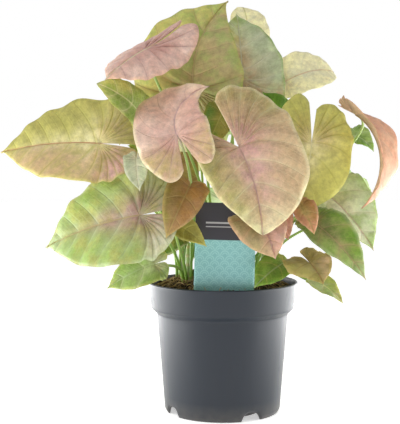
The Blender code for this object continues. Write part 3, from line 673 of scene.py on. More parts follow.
def midrib(leaf, length, shares):
    """Points along the curved midrib at shares of its length, in the blade's own frame."""
    along = np.asarray(shares, float) * length
    none = 0 * along
    return bent_blade(leaf, length, none + 1, none, none, along, none, none)


def blade_frame(leaf):
    """The blade's length and the turn from its own frame to the world, as in the solids."""
    joint, tip = np.array(leaf.joint) * MM, np.array(leaf.tip) * MM
    span = np.linalg.norm(tip - joint)
    reach = span
    for _ in range(LENGTH_PASSES):
        end = midrib(leaf, reach, 1.0)
        reach *= span / np.linalg.norm(end)
    world = frame_of(unit(tip - joint), np.array(leaf.facing, float))
    return reach, world.T @ frame_of(unit(end), np.array((0, 0, 1.0)))


def vein_count(reach):
    """How many side veins a half of the blade has: more on a longer one."""
    return int(round(np.clip(reach / MM / VEIN_GAP, *VEIN_LIMITS)))


def skin_colours(leaf, palette):
    """The nine colours of a leaf's finish, as arrays."""
    return [np.array(getattr(palette, name)) for name in leaf.skin.split()]


def blade_colours(leaf, palette, reach, side, near, along, across):
    """Colour of each point of the blade.

    The halves' colours meet over 2 mm at the midrib, as tanh. The lobes' colours come in from just before
    the joint to 0.4 of the lobe behind it, and the margin's over the outer tenth and the last 0.4 to the
    tip. The heart's is round the joint, as exp(-(along / reach)^2 - (across / half the width)^2), and along
    the midrib. A brown purple painted shade darkens each side of the notch, for the shade in the folds
    there, round 0.22 of the lobe behind the joint and 0.28 of the width from the midrib.
    """
    left, right, heart, lobe_left, lobe_right, margin = skin_colours(leaf, palette)[:6]
    width, lobe = of_half(side, leaf.widths) * MM, of_half(side, leaf.lobes) * MM
    share = 0.5 + 0.5 * np.tanh(side * across / (2 * MM))
    mixed = blend_colours(right, left, share)
    lobes = blend_colours(lobe_right, lobe_left, share)
    mixed = blend_colours(mixed, lobes, ease(-0.05, 0.40, -along / lobe) * 0.9)
    round_joint = np.exp(-((along / (leaf.heart * reach)) ** 2) - (across / (0.5 * width)) ** 2)
    forward = along / reach
    by_midrib = np.exp(-((across / (0.20 * width)) ** 2)) * ease(1.1, 0.2, forward) * ease(-0.2, 0.1, forward)
    mixed = blend_colours(mixed, heart, 0.85 * np.clip(round_joint + 0.7 * by_midrib, 0, 1))
    # Painted shade: each side of the notch is darkened brown purple, for the shade in its folds.
    behind, outward = along / lobe + 0.22, across / width - 0.28
    fold_shade = np.exp(-((behind / 0.30) ** 2) - (outward / 0.24) ** 2)
    mixed = mixed * (1 - np.array(PAINTED_FOLD_SHADE) * fold_shade[..., None])
    edge = np.maximum(ease(0.90, 1.0, near), ease(0.60, 1.0, forward))
    return blend_colours(mixed, margin, 0.7 * edge)


def leaf_marks(leaf, palette, plan, skin, spacing, across):
    """What each point of a leaf carries: its place among the veins, its colours and its distances in mm."""
    rib, vein, blotch = skin_colours(leaf, palette)[6:]
    none = np.zeros((len(plan), 1))
    return {
        "plan": plan, "skin": skin, "midrib": none + rib, "vein": none + vein, "blotch": none + blotch,
        "spacing": spacing, "across": across,
    }


def thickened(points, triangles, carried, half, outward, materials):
    """A closed shell round an open sheet: its two faces, each half the thickness away, and the rim's wall.

    The normal of a point is the mean of its triangles', turned so that the sheet looks outward. materials
    are those of the front, the rim and the back.
    """
    corners = points[triangles]
    face_normals = np.cross(corners[:, 1] - corners[:, 0], corners[:, 2] - corners[:, 0])
    if face_normals.sum(axis=0) @ outward < 0:
        triangles, face_normals = triangles[:, ::-1], -face_normals
    normals = np.zeros_like(points)
    for corner in range(3):
        np.add.at(normals, triangles[:, corner], face_normals)
    normals /= np.maximum(np.linalg.norm(normals, axis=1, keepdims=True), 1e-12)
    count = len(points)
    edges = np.concatenate([triangles[:, [0, 1]], triangles[:, [1, 2]], triangles[:, [2, 0]]])
    a, b = edges[~np.isin(edges[:, 0] * count + edges[:, 1], edges[:, 1] * count + edges[:, 0])].T
    walls = np.concatenate([np.stack([b, a, a + count], -1), np.stack([b, a + count, b + count], -1)])
    return Surface(
        np.vstack([points + normals * half, points - normals * half]),
        np.concatenate([triangles, walls, triangles[:, ::-1] + count]),
        np.repeat(materials, [len(triangles), len(walls), len(triangles)]),
        {key: np.concatenate([values, values]) for key, values in carried.items()},
    )


def blade_surface(leaf, reach, turn, shape, palette):
    """The blade as a closed shell of two faces and a rim.

    place runs 0 to 1 along the edge from the tip to the inner corner of the basal lobe. share runs from -1
    at the right edge through 0 at the midrib to 1 at the left edge, and near is |share|. A side vein is a
    line of one place: along = start (1 - near) + edge_along near, less an arch of sin(pi near), and
    across = edge_across near. The edge wanders by unevenness sin(pi veins place).

    Between two side veins the tissue stands up by quilt |sin(pi place veins)|^0.7 2 near^0.6 (1 - near)^0.7
    gap / 6 mm, fading to the tip and the notch. Over the midrib it dips by groove exp(-(across / 1.5 mm)^2).
    Smooth noise of 22 mm swells it, and ripple sin(2 pi 9 place) near^5 waves its edge. All of this relief
    is scaled by the blade's width over 80 mm. Each face lies half the thickness from this surface, and at
    the edge a quarter.
    """
    rows = int(np.clip(reach / MM, *ROW_LIMITS))
    columns = int(np.clip(sum(leaf.widths) / COLUMN_WIDTH, *COLUMN_LIMITS))
    place = np.linspace(0, 1, rows + 1)[:, None]
    share = np.linspace(-1, 1, 2 * columns + 1)[None, :]
    near, side = np.abs(share), np.where(share < 0, -1.0, 1.0)
    edge = smooth_curve(HALF_EDGE, rows + 1)
    edge_x = edge[:, :1]
    ahead, behind = np.clip(edge_x, 0, 1), np.minimum(edge_x, 0)
    gape, blunt = of_half(side, leaf.gape) * behind**2, leaf.blunt * ahead**2 * np.sqrt(1 - ahead**2)
    edge_y = np.maximum(edge[:, 1:], 0) + gape + blunt
    width, lobe = of_half(side, leaf.widths) * MM, of_half(side, leaf.lobes) * MM
    veins = vein_count(reach)
    seed = sum(leaf.name.encode()) % 97
    fade = np.sin(pi * place)
    uneven = 1 + shape.unevenness * np.sin(2 * pi * veins * place / 2 + seed + 2 * side) * fade
    edge_across = edge_y * width * uneven
    edge_along = np.where(edge_x > 0, edge_x * reach, edge_x * lobe) + side * leaf.skew * edge_across
    start = np.clip(edge_x * reach - VEIN_SLANT * edge_y * sum(leaf.widths) * MM / 2, 0, reach)
    arch = VEIN_ARCH * edge_across * np.sin(pi * near) * fade
    along = start * (1 - near) + edge_along * near - arch
    across = edge_across * near

    flat = np.stack([along + 0 * across, across + 0 * along], -1)
    gap = np.linalg.norm(np.gradient(flat, 1 / rows, axis=0), axis=-1) / veins / MM
    rise = 2.0 * near**0.6 * (1 - near) ** 0.7 * np.clip(gap / FULL_QUILT_GAP, 0, 1.2)
    quilt = np.abs(np.sin(pi * place * veins)) ** 0.7 * rise * fade**0.5
    groove = np.exp(-((across / GROOVE_HALF) ** 2)) * ease(0, 0.1, place)
    swell = lattice_noise(along / SWELL_CELL + seed, side * across / SWELL_CELL + 7.3, seed) * near
    edge_ripple = np.sin(2 * pi * place * EDGE_RIPPLES + seed + side) * near**5 * fade
    relief = sum(leaf.widths) / 80 * (
        leaf.quilt * shape.quilt * quilt - shape.groove * groove
        + 1.2 * shape.ripple * swell + shape.ripple * edge_ripple
    )
    grid = bent_blade(leaf, reach, side, near, place + 0 * near, along, across, relief)

    by_place = np.gradient(grid, 1 / rows, axis=0)
    by_share = np.gradient(grid, 1 / columns, axis=1)
    by_share /= np.maximum(np.linalg.norm(by_share, axis=-1, keepdims=True), 1e-9)
    spacing = np.linalg.norm(np.cross(by_place, by_share), axis=-1) / veins / MM
    plan = np.stack([place * veins + 0 * near, near + 0 * place], -1).reshape(-1, 2)
    skin = blade_colours(leaf, palette, reach, side, near, along, across).reshape(-1, 3)
    carried = leaf_marks(leaf, palette, plan, skin, spacing.ravel(), across.ravel() / MM)
    points, triangles, carried = sheet(grid @ turn.T + np.array(leaf.joint) * MM, carried)
    half = shape.thickness / 2 * (1 - 0.5 * carried["plan"][:, 1:] ** 6)
    return thickened(points, triangles, carried, half, turn[:, 2], (0, 0, 1))


def stalk_roots():
    """Where each leaf's stalk stands: on a ring round its shoot's stem, as in the solids."""
    roots = {}
    for shoot, (x, y) in SHOOTS.items():
        own = [leaf for leaf in LEAVES if leaf.shoot == shoot]
        starts = [(leaf.joint[0] + 2 * leaf.bow[0] - x, leaf.joint[1] + 2 * leaf.bow[1] - y) for leaf in own]
        ways = sorted((float(np.arctan2(b, a)), leaf.name) for leaf, (a, b) in zip(own, starts))
        angles = np.array([angle for angle, _ in ways])
        for _ in range(SPACING_PASSES):
            gaps = np.diff(angles, append=angles[:1] + 2 * pi)
            push = np.maximum(STALK_SPACING - gaps, 0) / 2
            angles = angles + np.roll(push, 1) - push
        for angle, (_, name) in zip(angles, ways):
            ring_x, ring_y = polar(STALK_RING_RADIUS, angle)
            roots[name] = np.array((x * MM + ring_x, y * MM + ring_y, HOLE_FLOOR + FIT_GAP))
    return roots


def stalk_surface(leaf, reach, turn, root, palette):
    """The stalk, which runs on under the blade as its midrib.

    The stalk follows the cubic curve of the solids, (1-t)^3 p0 + 3 (1-t)^2 t p1 + 3 (1-t) t^2 p2 + t^3 p3,
    and the midrib the blade's own curve, just under it, with a radius that falls to nothing. The stalk's
    points are 5 mm apart, 12 to 40 of them, and its radius falls to the tip's by the root of the way along.
    A blade shorter than 80 mm has a thinner tip and midrib.
    """
    joint = np.array(leaf.joint) * MM
    into = unit(turn @ np.array(STALK_ENTRY))
    out = np.array((root[0], root[1], float(soil_height(root[0], root[1])) + MM))
    way = np.linalg.norm(joint - out)
    bow = np.array((*leaf.bow, 0.0)) * MM
    first = out + bow + np.array((0, 0, way * leaf.rise))
    second = joint + bow + into * way * leaf.hook
    t = np.linspace(0, 1, int(np.clip(way / 0.005, 12, 40)) + 1)[:, None]
    stalk = (1 - t) ** 3 * out + 3 * (1 - t) ** 2 * t * first + 3 * (1 - t) * t**2 * second + t**3 * joint
    stalk = np.vstack([root, stalk[:-1]])
    shares = np.linspace(RIB_FROM, RIB_TO, RIB_RINGS)
    under = midrib(leaf, reach, shares) - np.array((0, 0, RIB_DEPTH))
    line = np.vstack([stalk, under @ turn.T + joint])
    foot, head = STALK_FOOT_RADIUS, STALK_TIP_RADIUS
    size = np.clip(reach / 0.080, 0.5, 1.0)
    stalk_radii = foot + (head * (0.8 + 0.3 * size) - foot) * np.linspace(0, 1, len(stalk)) ** 0.5
    radii = np.concatenate([stalk_radii, head * size * (1 - shares) ** 0.8 * 0.75])
    points, triangles, ring, around = tube(line, radii, STALK_SIDES, STALK_CHANNEL)
    up = ring / (len(stalk) - 1)
    skin = blend_colours(np.array(palette.bright) + 0 * up[:, None], palette.green, ease(0.1, 0.5, up))
    skin = blend_colours(skin, skin_colours(leaf, palette)[6], 0.8 * ease(0.85, 1.05, up))
    plan = np.stack([around, travelled(line)[ring] / MM], -1)
    carried = leaf_marks(leaf, palette, plan, skin, np.ones(len(plan)), np.zeros(len(plan)))
    return one_finish(points, triangles, carried, 2)


def add_node(tree, kind, *inputs, output=0, named=None, **settings):
    """Adds a shader node, sets its settings and inputs, and returns one of its live outputs.

    inputs fill the node's live sockets in order, and named those that it names. A value that is a socket is
    linked, a colour is set as opaque, any other is set as it is, and None is passed over.
    """
    made = tree.nodes.new("ShaderNode" + kind)
    for key, value in settings.items():
        setattr(made, key, value)
    live = [socket for socket in made.inputs if socket.enabled]
    pairs = list(zip(live, inputs)) + [(made.inputs[key], value) for key, value in (named or {}).items()]
    for socket, value in pairs:
        if isinstance(value, bpy.types.NodeSocket):
            tree.links.new(value, socket)
        elif value is not None:
            socket.default_value = (*value, 1.0) if socket.type == "RGBA" else value
    return [socket for socket in made.outputs if socket.enabled][output]


def new_material(name, **sockets):
    """A material whose shader's sockets are set as given, and the function that adds its nodes."""
    material = bpy.data.materials.new(name)
    material.use_nodes = True
    for key, value in sockets.items():
        material.node_tree.nodes["Principled BSDF"].inputs[key.replace("_", " ")].default_value = value
    return material, partial(add_node, material.node_tree)


def finish_material(material, colour, height=None, depth=0.0, roughness=None):
    """Links the colour, any bump (height 1 standing depth metres proud) and any varying roughness."""
    tree = material.node_tree
    bump = height and add_node(tree, "Bump", named={"Height": height, "Distance": depth, "Strength": 1.0})
    for key, value in (("Base Color", colour), ("Normal", bump), ("Roughness", roughness)):
        if value:
            tree.links.new(value, tree.nodes["Principled BSDF"].inputs[key])
    return material


def leaf_cuticle(shape):
    """Upper face of a live leaf: soft tissue under a thin waxy cuticle.

    The wax gives a broad weak shine and the thin tissue glows a little. Between two side veins the tissue is
    puffed up, and a band along each vein carries painted shade of the hollow between two puffs, tinted
    towards the vein's colour, so that the puffs look paler; the veins, a finer set between them and a net
    of the finest, of 3.2 mm, break its colour, and blotches about 14 mm across, specks of 4 mm and grain of
    1 mm mottle it.
    """
    material, put = new_material("leaf_cuticle", IOR=1.42, Specular_IOR_Level=0.40, **TISSUE)
    skin, vein, rib_tint, blotch = (
        put("Attribute", attribute_name=key) for key in ("skin", "vein", "midrib", "blotch")
    )
    spacing, across = (put("Attribute", attribute_name=key, output=2) for key in ("spacing", "across"))
    here = put("TexCoord", output=3)
    plan = put("UVMap", uv_map="plan")
    phase, near = put("SeparateXYZ", plan), put("SeparateXYZ", plan, output=1)

    # How far a point is from the nearest side vein, as a share of their spacing and in millimetres.
    share = put("Math", phase, 0.5, operation="PINGPONG")
    from_vein = put("Math", share, spacing, **TIMES)
    from_vein = put("Math", from_vein, put("Math", 1.3, near, operation="SUBTRACT"), operation="DIVIDE")
    side_veins = put("MapRange", from_vein, 0.0, shape.vein_width / MM, 1.0, 0.0, **SMOOTH)
    # Painted shade: a band along each side vein, tinted to the vein colour, for the hollow between puffs.
    hollow_shade = put("MapRange", share, 0.0, 0.34, 1.0, 0.0, **SMOOTH)
    from_fine = put("Math", put("Math", phase, 1 / 6, operation="PINGPONG"), spacing, **TIMES)
    fine = put("MapRange", from_fine, 0.0, 0.7, 1.0, 0.0, **SMOOTH)
    rib_width = shape.midrib_width / MM
    rib = put("MapRange", across, 0.2 * rib_width, 0.6 * rib_width, 1.0, 0.0, **SMOOTH)
    net = put("TexVoronoi", here, 1 / 0.0032, feature="DISTANCE_TO_EDGE")
    net = put("MapRange", net, 0.0, 0.12, 1.0, 0.0, **SMOOTH)

    # The painted shade of the hollows shows in patches, and only where the veins stand well apart.
    cloud = put("TexNoise", here, 1 / 0.014, 4.0, 0.6)
    patchy = put("MapRange", cloud, 0.36, 0.62, 1.0, 0.15, **SMOOTH)
    apart = put("MapRange", spacing, 1.5, 6.0, 0.15, 1.0)
    hollow_shade = put("Math", put("Math", hollow_shade, patchy, **TIMES), apart, **TIMES)
    cloud = put("MapRange", cloud, 0.40, 0.66, 0.0, 0.62, **SMOOTH)
    specks = put("TexNoise", here, 1 / 0.0042, 4.0, 0.6)
    grain = put("TexNoise", here, 1 / 0.0011, 2.0)

    tint = put("Mix", cloud, skin, blotch, **BLENDED)
    tint = put("Mix", 1.0, tint, put("MapRange", specks, *NOISE_RANGE, 0.78, 1.16), **SHADED)
    tint = put("Mix", 1.0, tint, put("MapRange", grain, *NOISE_RANGE, 0.94, 1.05), **SHADED)
    # Only the hollow band here is painted shade; veins, net and midrib are the leaf's own colours.
    for mask, weight, colour in (
        (net, 0.10, vein), (fine, 0.10, vein), (hollow_shade, 0.30, vein), (side_veins, 0.22, vein),
        (rib, 0.48, rib_tint),
    ):
        tint = put("Mix", put("Math", mask, weight, **TIMES), tint, colour, **BLENDED)

    height = put("Math", grain, 0.20, **TIMES)
    for mask, depth in ((specks, 0.5), (side_veins, -0.55), (rib, -0.8), (fine, -0.25), (net, -0.15)):
        height = put("Math", mask, depth, height, **TIMES_PLUS)
    rough = put("MapRange", specks, *NOISE_RANGE, 0.44, 0.58)
    return finish_material(material, tint, height, 0.0004, rough)


def leaf_underside(palette):
    """Lower face of a live leaf: matte, paler and greyer, with its veins standing out."""
    material, put = new_material(
        "leaf_underside", Roughness=0.62, IOR=1.40, Specular_IOR_Level=0.3, **TISSUE
    )
    skin, vein = (put("Attribute", attribute_name=key) for key in ("skin", "vein"))
    spacing = put("Attribute", attribute_name="spacing", output=2)
    share = put("Math", put("SeparateXYZ", put("UVMap", uv_map="plan")), 0.5, operation="PINGPONG")
    from_vein = put("Math", share, spacing, **TIMES)
    side_veins = put("MapRange", from_vein, 0.0, 0.9, 1.0, 0.0, **SMOOTH)
    grain = put("TexNoise", put("TexCoord", output=3), 1 / 0.0022, 4.0)
    tint = put("Mix", 0.30, skin, palette.sage, **BLENDED)
    tint = put("Mix", 1.0, tint, put("MapRange", grain, *NOISE_RANGE, 0.88, 1.08), **SHADED)
    tint = put("Mix", put("Math", side_veins, 0.35, **TIMES), tint, vein, **BLENDED)
    return finish_material(material, tint, put("Math", grain, 0.3, side_veins, **TIMES_PLUS), 0.0003)


def stalk_skin(name):
    """Skin of a fleshy stalk: smooth and faintly waxy, with fine streaks that run its length."""
    material, put = new_material(name, Roughness=0.38, IOR=1.42, Specular_IOR_Level=0.45, **TISSUE)
    # One unit round the stalk is about 8 mm and one along it 1 mm: streaks 0.5 mm wide and 12 mm long.
    along = put("Mapping", put("UVMap", uv_map="plan"), None, None, (16.0, 0.08, 1.0))
    streaks = put("TexNoise", along, 1.0, 3.0)
    skin, shade = put("Attribute", attribute_name="skin"), put("MapRange", streaks, *NOISE_RANGE, 0.72, 1.16)
    return finish_material(material, put("Mix", 1.0, skin, shade, **SHADED), streaks, 0.0002)


def moulded_polypropylene(look):
    """The pot: injection-moulded polypropylene with carbon black and a satin mould finish.

    It has a broad soft shine that is strongest at grazing angles, faint flow streaks down the wall, a fine
    orange peel of 0.9 mm, rubbed scuffs, and dried soil dust on its lowest 14 mm.
    """
    material, put = new_material("moulded_polypropylene", IOR=1.49, Specular_IOR_Level=0.5)
    here = put("TexCoord", output=3)
    height = put("SeparateXYZ", here, output=2)
    # Flow streaks 2.5 mm wide and 60 mm tall, and scuffs about 9 mm across.
    flow = put("TexNoise", put("Mapping", here, None, None, (400, 400, 16)), 1.0, 2.0)
    scuffs = put("TexNoise", here, 1 / 0.009, 6.0, 0.62)
    rubbed = put("MapRange", scuffs, 0.58, 0.76, 0.0, 1.0, **SMOOTH)
    low = put("MapRange", height, 0.0, 0.014, 1.0, 0.0)
    dust = put("Math", put("Math", low, scuffs, **TIMES), 0.4, **TIMES)
    pale = [min(1.0, 1.9 * part) for part in look.body]
    tint = put("Mix", put("Math", flow, 0.30, **TIMES), look.body, pale, **BLENDED)
    tint = put("Mix", put("Math", rubbed, 0.16, **TIMES), tint, pale, **BLENDED)
    tint = put("Mix", dust, tint, look.dust, **BLENDED)
    rough = put("MapRange", flow, *NOISE_RANGE, look.roughness - 0.04, look.roughness + 0.05)
    rough = put("Math", rubbed, 0.12, rough, **TIMES_PLUS)
    relief = put("Math", flow, 0.3, put("TexNoise", here, 1 / 0.0009, 2.0), **TIMES_PLUS)
    return finish_material(material, tint, relief, 0.00003, rough)


def potting_mix(look):
    """Peat and composted bark: a rough, light-swallowing crumb of 1.6 mm with dry, paler bits."""
    material, put = new_material("potting_mix", Roughness=0.95, IOR=1.4, Specular_IOR_Level=0.25)
    tone = put("Attribute", attribute_name="tone", output=2)
    crumb = put("TexNoise", put("TexCoord", output=3), 1 / 0.0016, 6.0)
    dry = put("MapRange", put("Math", crumb, 0.9, tone, **TIMES_PLUS), 0.70, 1.40, 0.0, 1.0)
    return finish_material(material, put("Mix", dry, look.dark, look.light, **BLENDED), crumb, 0.0008)


def coir(look):
    """Coconut and bark fibres: dry, dull, and paler along some of their length."""
    material, put = new_material("coir_fibre", Roughness=0.8, IOR=1.5, Specular_IOR_Level=0.35)
    tone = put("Attribute", attribute_name="tone", output=2)
    patches = put("TexNoise", put("TexCoord", output=3), 1 / 0.003, 3.0)
    weight = put("Math", put("Math", tone, patches, operation="ADD"), 0.6, **TIMES)
    return finish_material(material, put("Mix", weight, look.light, look.fibre, **BLENDED), patches, 0.0003)


def printed_card(look):
    """The label: coated plastic card with flat printed inks under a satin varnish.

    The dark field carries two pale lines, and the teal one rows of pale scallops. A scallop is two arcs,
    0.42 and 0.22 of the pitch in radius, about a centre in each cell of a pitch by half a pitch. The inks
    are clouded over about 12 mm, and the varnish is dimpled over 1.5 mm.
    """
    material, put = new_material("printed_card", Roughness=0.38, IOR=1.5, Specular_IOR_Level=0.5)
    plan = put("UVMap", uv_map="plan")
    x, z = put("SeparateXYZ", plan), put("SeparateXYZ", plan, output=1)
    border, pitch = look.border / MM, look.scallop / MM
    row = put("Math", put("Math", z, pitch / 2, operation="DIVIDE"), operation="FLOOR")
    odd = put("Math", put("Math", row, 2.0, operation="MODULO"), pitch / 2, **TIMES)
    u = put("Math", put("Math", x, odd, operation="ADD"), pitch / 2, operation="PINGPONG")
    v = put("Math", row, -pitch / 2, z, **TIMES_PLUS)
    reach = put("Math", put("Math", u, u, put("Math", v, v, **TIMES), **TIMES_PLUS), operation="SQRT")
    inside = put("Math", put("Math", x, operation="ABSOLUTE"), 15.0, operation="LESS_THAN")

    def stripe(value, middle, half):
        """1 where the value is at the middle, falling to 0 at half a width from it."""
        off = put("Math", put("Math", value, middle, operation="SUBTRACT"), operation="ABSOLUTE")
        return put("MapRange", off, 0.4 * half, half, 1.0, 0.0)

    outer, inner = stripe(reach, 0.42 * pitch, 0.6), stripe(reach, 0.22 * pitch, 0.5)
    motif = put("Math", outer, inner, operation="MAXIMUM")
    rules = put("Math", stripe(z, border + 13, 0.9), stripe(z, border + 10, 0.5), operation="MAXIMUM")
    rules = put("Math", rules, inside, **TIMES)
    cloud = put("TexNoise", put("TexCoord", output=3), 1 / 0.012, 3.0)
    worn = put("TexNoise", put("TexCoord", output=3), 1 / 0.0015, 2.0)
    teal = put("Mix", put("Math", cloud, 0.30, **TIMES), look.teal, look.motif, **BLENDED)
    teal = put("Mix", put("Math", motif, 0.8, **TIMES), teal, look.motif, **BLENDED)
    dark = put("Mix", put("Math", rules, 0.8, **TIMES), look.dark, look.mark, **BLENDED)
    above = put("Math", z, border, operation="GREATER_THAN")
    return finish_material(material, put("Mix", above, teal, dark, **BLENDED), worn, 0.00003)


def backlit_acrylic(look):
    """The floor: matt white translucent acrylic lit from below, with the faintest mottling."""
    material, put = new_material(
        "backlit_acrylic", Roughness=0.9, IOR=1.45, Specular_IOR_Level=0.2, Emission_Strength=look.glow,
        Emission_Color=(1, 1, 1, 1),
    )
    mottling = put("TexNoise", put("TexCoord", output=3), 1 / 0.004, 3.0)
    shade = put("MapRange", mottling, *NOISE_RANGE, 0.985, 1.0)
    return finish_material(material, put("Mix", 1.0, look.floor, shade, **SHADED))


def rounded(profile, radius, steps=4):
    """The profile with each corner p turned into the curve (1-t)^2 a + 2 t (1-t) p + t^2 b.

    a and b lie on the two sides of the corner, at the radius from it or at 0.45 of a shorter side.
    """
    p = np.asarray(profile, float)
    before, corner, after = p[:-2], p[1:-1], p[2:]
    t = np.linspace(0, 1, steps + 1)[None, :, None]

    def towards(other):
        way = other - corner
        size = np.linalg.norm(way, axis=1, keepdims=True)
        return corner + way * np.minimum(radius / size, 0.45)

    a, b = towards(before)[:, None], towards(after)[:, None]
    curve = (1 - t) ** 2 * a + 2 * t * (1 - t) * corner[:, None] + t**2 * b
    return np.vstack([p[:1], curve.reshape(-1, 2), p[-1:]])


def refined(profile, step):
    """The profile with extra points, so that none of its straight runs is longer than the step."""
    p = np.asarray(profile, float)
    sizes = np.linalg.norm(np.diff(p, axis=0), axis=1)
    parts = [np.linspace(a, b, max(int(np.ceil(s / step)), 1) + 1)[:-1] for a, b, s in zip(p, p[1:], sizes)]
    return np.vstack(parts + [p[-1:]])


def merged(points, triangles, carried):
    """The same surface with coinciding points made one, and the triangles that this flattens left out."""
    _, kept, number = np.unique(np.round(points, 7), axis=0, return_index=True, return_inverse=True)
    triangles = number.ravel()[triangles]
    whole = (triangles != np.roll(triangles, 1, axis=1)).all(axis=1)
    return points[kept], triangles[whole], {key: values[kept] for key, values in carried.items()}


def sheet(grid, carried, wrap=False):
    """The surface over a grid of points, with its poles and seams closed."""
    return merged(grid.reshape(-1, 3), grid_triangles(*grid.shape[:2], wrap), carried)


def inside_line(gap):
    """(radius, height) from the middle of the pot's floor up its inside, as in the solids."""
    band_foot = POT_HEIGHT - BAND_HEIGHT
    shoulder = band_foot - BAND_STEP
    taper = (BODY_TOP_RADIUS - BODY_FOOT_RADIUS) / shoulder
    floor = MOAT_HEIGHT + WALL + gap
    return [
        (0.0, WALL + gap),
        (BASE_PLATE_RADIUS - EDGE_ROUND - gap, WALL + gap),
        (MOAT_INNER_RADIUS - EDGE_ROUND - gap, floor),
        (BODY_FOOT_RADIUS + taper * floor - WALL - gap, floor),
        (BODY_TOP_RADIUS - WALL - gap, shoulder + EDGE_ROUND + gap),
        (BAND_FOOT_RADIUS - BAND_WALL - gap, band_foot + WALL + gap),
        (RIM_RADIUS - BAND_WALL - gap, POT_HEIGHT - EDGE_ROUND),
    ]


def pot_surface():
    """The pot as one profile turned about Z, from the middle of its underside out, up, over and down inside.

    At each drain notch the foot is lifted by arch = sqrt(radius^2 - s^2) - drop, s being the distance round
    the foot from the notch's middle. A point at height z below H goes up by arch (1 - z / H).
    """
    band_foot = POT_HEIGHT - BAND_HEIGHT
    taper = (BODY_TOP_RADIUS - BODY_FOOT_RADIUS) / (band_foot - BAND_STEP)
    outside = [
        (0.0, 0.0),
        (BASE_PLATE_RADIUS, 0.0),
        (MOAT_INNER_RADIUS, MOAT_HEIGHT),
        (MOAT_OUTER_RADIUS - EDGE_ROUND, MOAT_HEIGHT),
        (MOAT_OUTER_RADIUS, 0.0),
        (BODY_FOOT_RADIUS - WALL, 0.0),
        (BODY_FOOT_RADIUS + taper * FOOT_ROUND, FOOT_ROUND),
        (BODY_TOP_RADIUS, band_foot - BAND_STEP),
        (BAND_FOOT_RADIUS - EDGE_ROUND, band_foot),
        (BAND_FOOT_RADIUS, band_foot + EDGE_ROUND),
        (RIM_RADIUS, POT_HEIGHT - EDGE_ROUND),
        (RIM_RADIUS - EDGE_ROUND, POT_HEIGHT),
        (RIM_RADIUS - BAND_WALL + EDGE_ROUND, POT_HEIGHT),
    ]
    profile = refined(rounded(outside + inside_line(0.0)[::-1], 0.0008), 0.0025)
    points, angle = turned(profile, POT_STEPS)
    outer = np.arange(len(profile)) < np.argmax(profile[:, 1])
    height, radius = points[..., 2], np.hypot(points[..., 0], points[..., 1])
    pitch = 2 * pi / NOTCH_COUNT
    off = (angle - NOTCH_FIRST_ANGLE + pitch / 2) % pitch - pitch / 2
    arch = np.sqrt(np.maximum(NOTCH_RADIUS**2 - (off * BODY_FOOT_RADIUS) ** 2, 0)) - NOTCH_DROP
    arch = np.clip(arch, 0, 0.94 * MOAT_HEIGHT)[None, :]
    in_foot = outer[:, None] & (radius > MOAT_OUTER_RADIUS - 1.5 * EDGE_ROUND)
    full = np.where(radius > MOAT_OUTER_RADIUS + 0.2 * MM, 2 * MOAT_HEIGHT, MOAT_HEIGHT)
    points[..., 2] += np.where(in_foot, arch * np.clip(1 - height / full, 0, 1), 0)
    return one_finish(*sheet(points, {}, wrap=True))


def soil_surface():
    """The soil: its skirt follows the pot's inside, and its top is the mound with crumbs raised on it.

    The top is z = soil height + 0.9 mm n(6 mm) + 0.7 mm n(2.6 mm) + 0.35 mm n(1.2 mm), n being smooth noise
    of that cell, faded out over the last 3 mm before the pot.
    """
    wall = inside_line(FIT_GAP)
    (low_radius, low), (high_radius, high) = wall[-2:]
    edge_radius = low_radius + (high_radius - low_radius) * (SOIL_EDGE_HEIGHT - low) / (high - low)
    top = [(radius, SOIL_EDGE_HEIGHT) for radius in np.linspace(edge_radius, 0, SOIL_RINGS)]
    profile = np.array(wall[:-1] + top)
    points, _ = turned(profile, SOIL_STEPS)
    x, y = points[..., 0], points[..., 1]
    fade = ease(edge_radius, edge_radius - 0.003, np.hypot(x, y))
    crumbs = sum(
        size * MM * lattice_noise(x / cell / MM + 31, y / cell / MM + 17, seed)
        for seed, (cell, size) in enumerate(SOIL_RELIEF)
    )
    on_top = (np.arange(len(profile)) >= len(wall) - 1)[:, None]
    mound = SOIL_EDGE_HEIGHT + (soil_height(x, y) - SOIL_EDGE_HEIGHT + crumbs) * fade
    points[..., 2] = np.where(on_top, mound, points[..., 2])
    return one_finish(*sheet(points, {"tone": np.full(x.size, 0.4)}, wrap=True))


def scattered(rng, count, reach):
    """Random places in a disc of that reach, evenly spread. Those before the label are put at the back."""
    x, y = polar(reach * np.sqrt(rng.uniform(0, 1, count)), rng.uniform(0, 2 * pi, count))
    in_strip = (np.abs(x - LABEL_X) < 0.6 * LABEL_WIDTH) & (y < LABEL_Y + STRIP_DEPTH)
    return x, np.where(in_strip, -y, y)


def repeated(points, faces, material, tone):
    """One surface of many like bits: points by bit and point, one bit's triangles, and each bit's tone."""
    count, size = points.shape[:2]
    triangles = (faces[None] + size * np.arange(count)[:, None, None]).reshape(-1, 3)
    return one_finish(points.reshape(-1, 3), triangles, {"tone": np.repeat(tone, size)}, material)


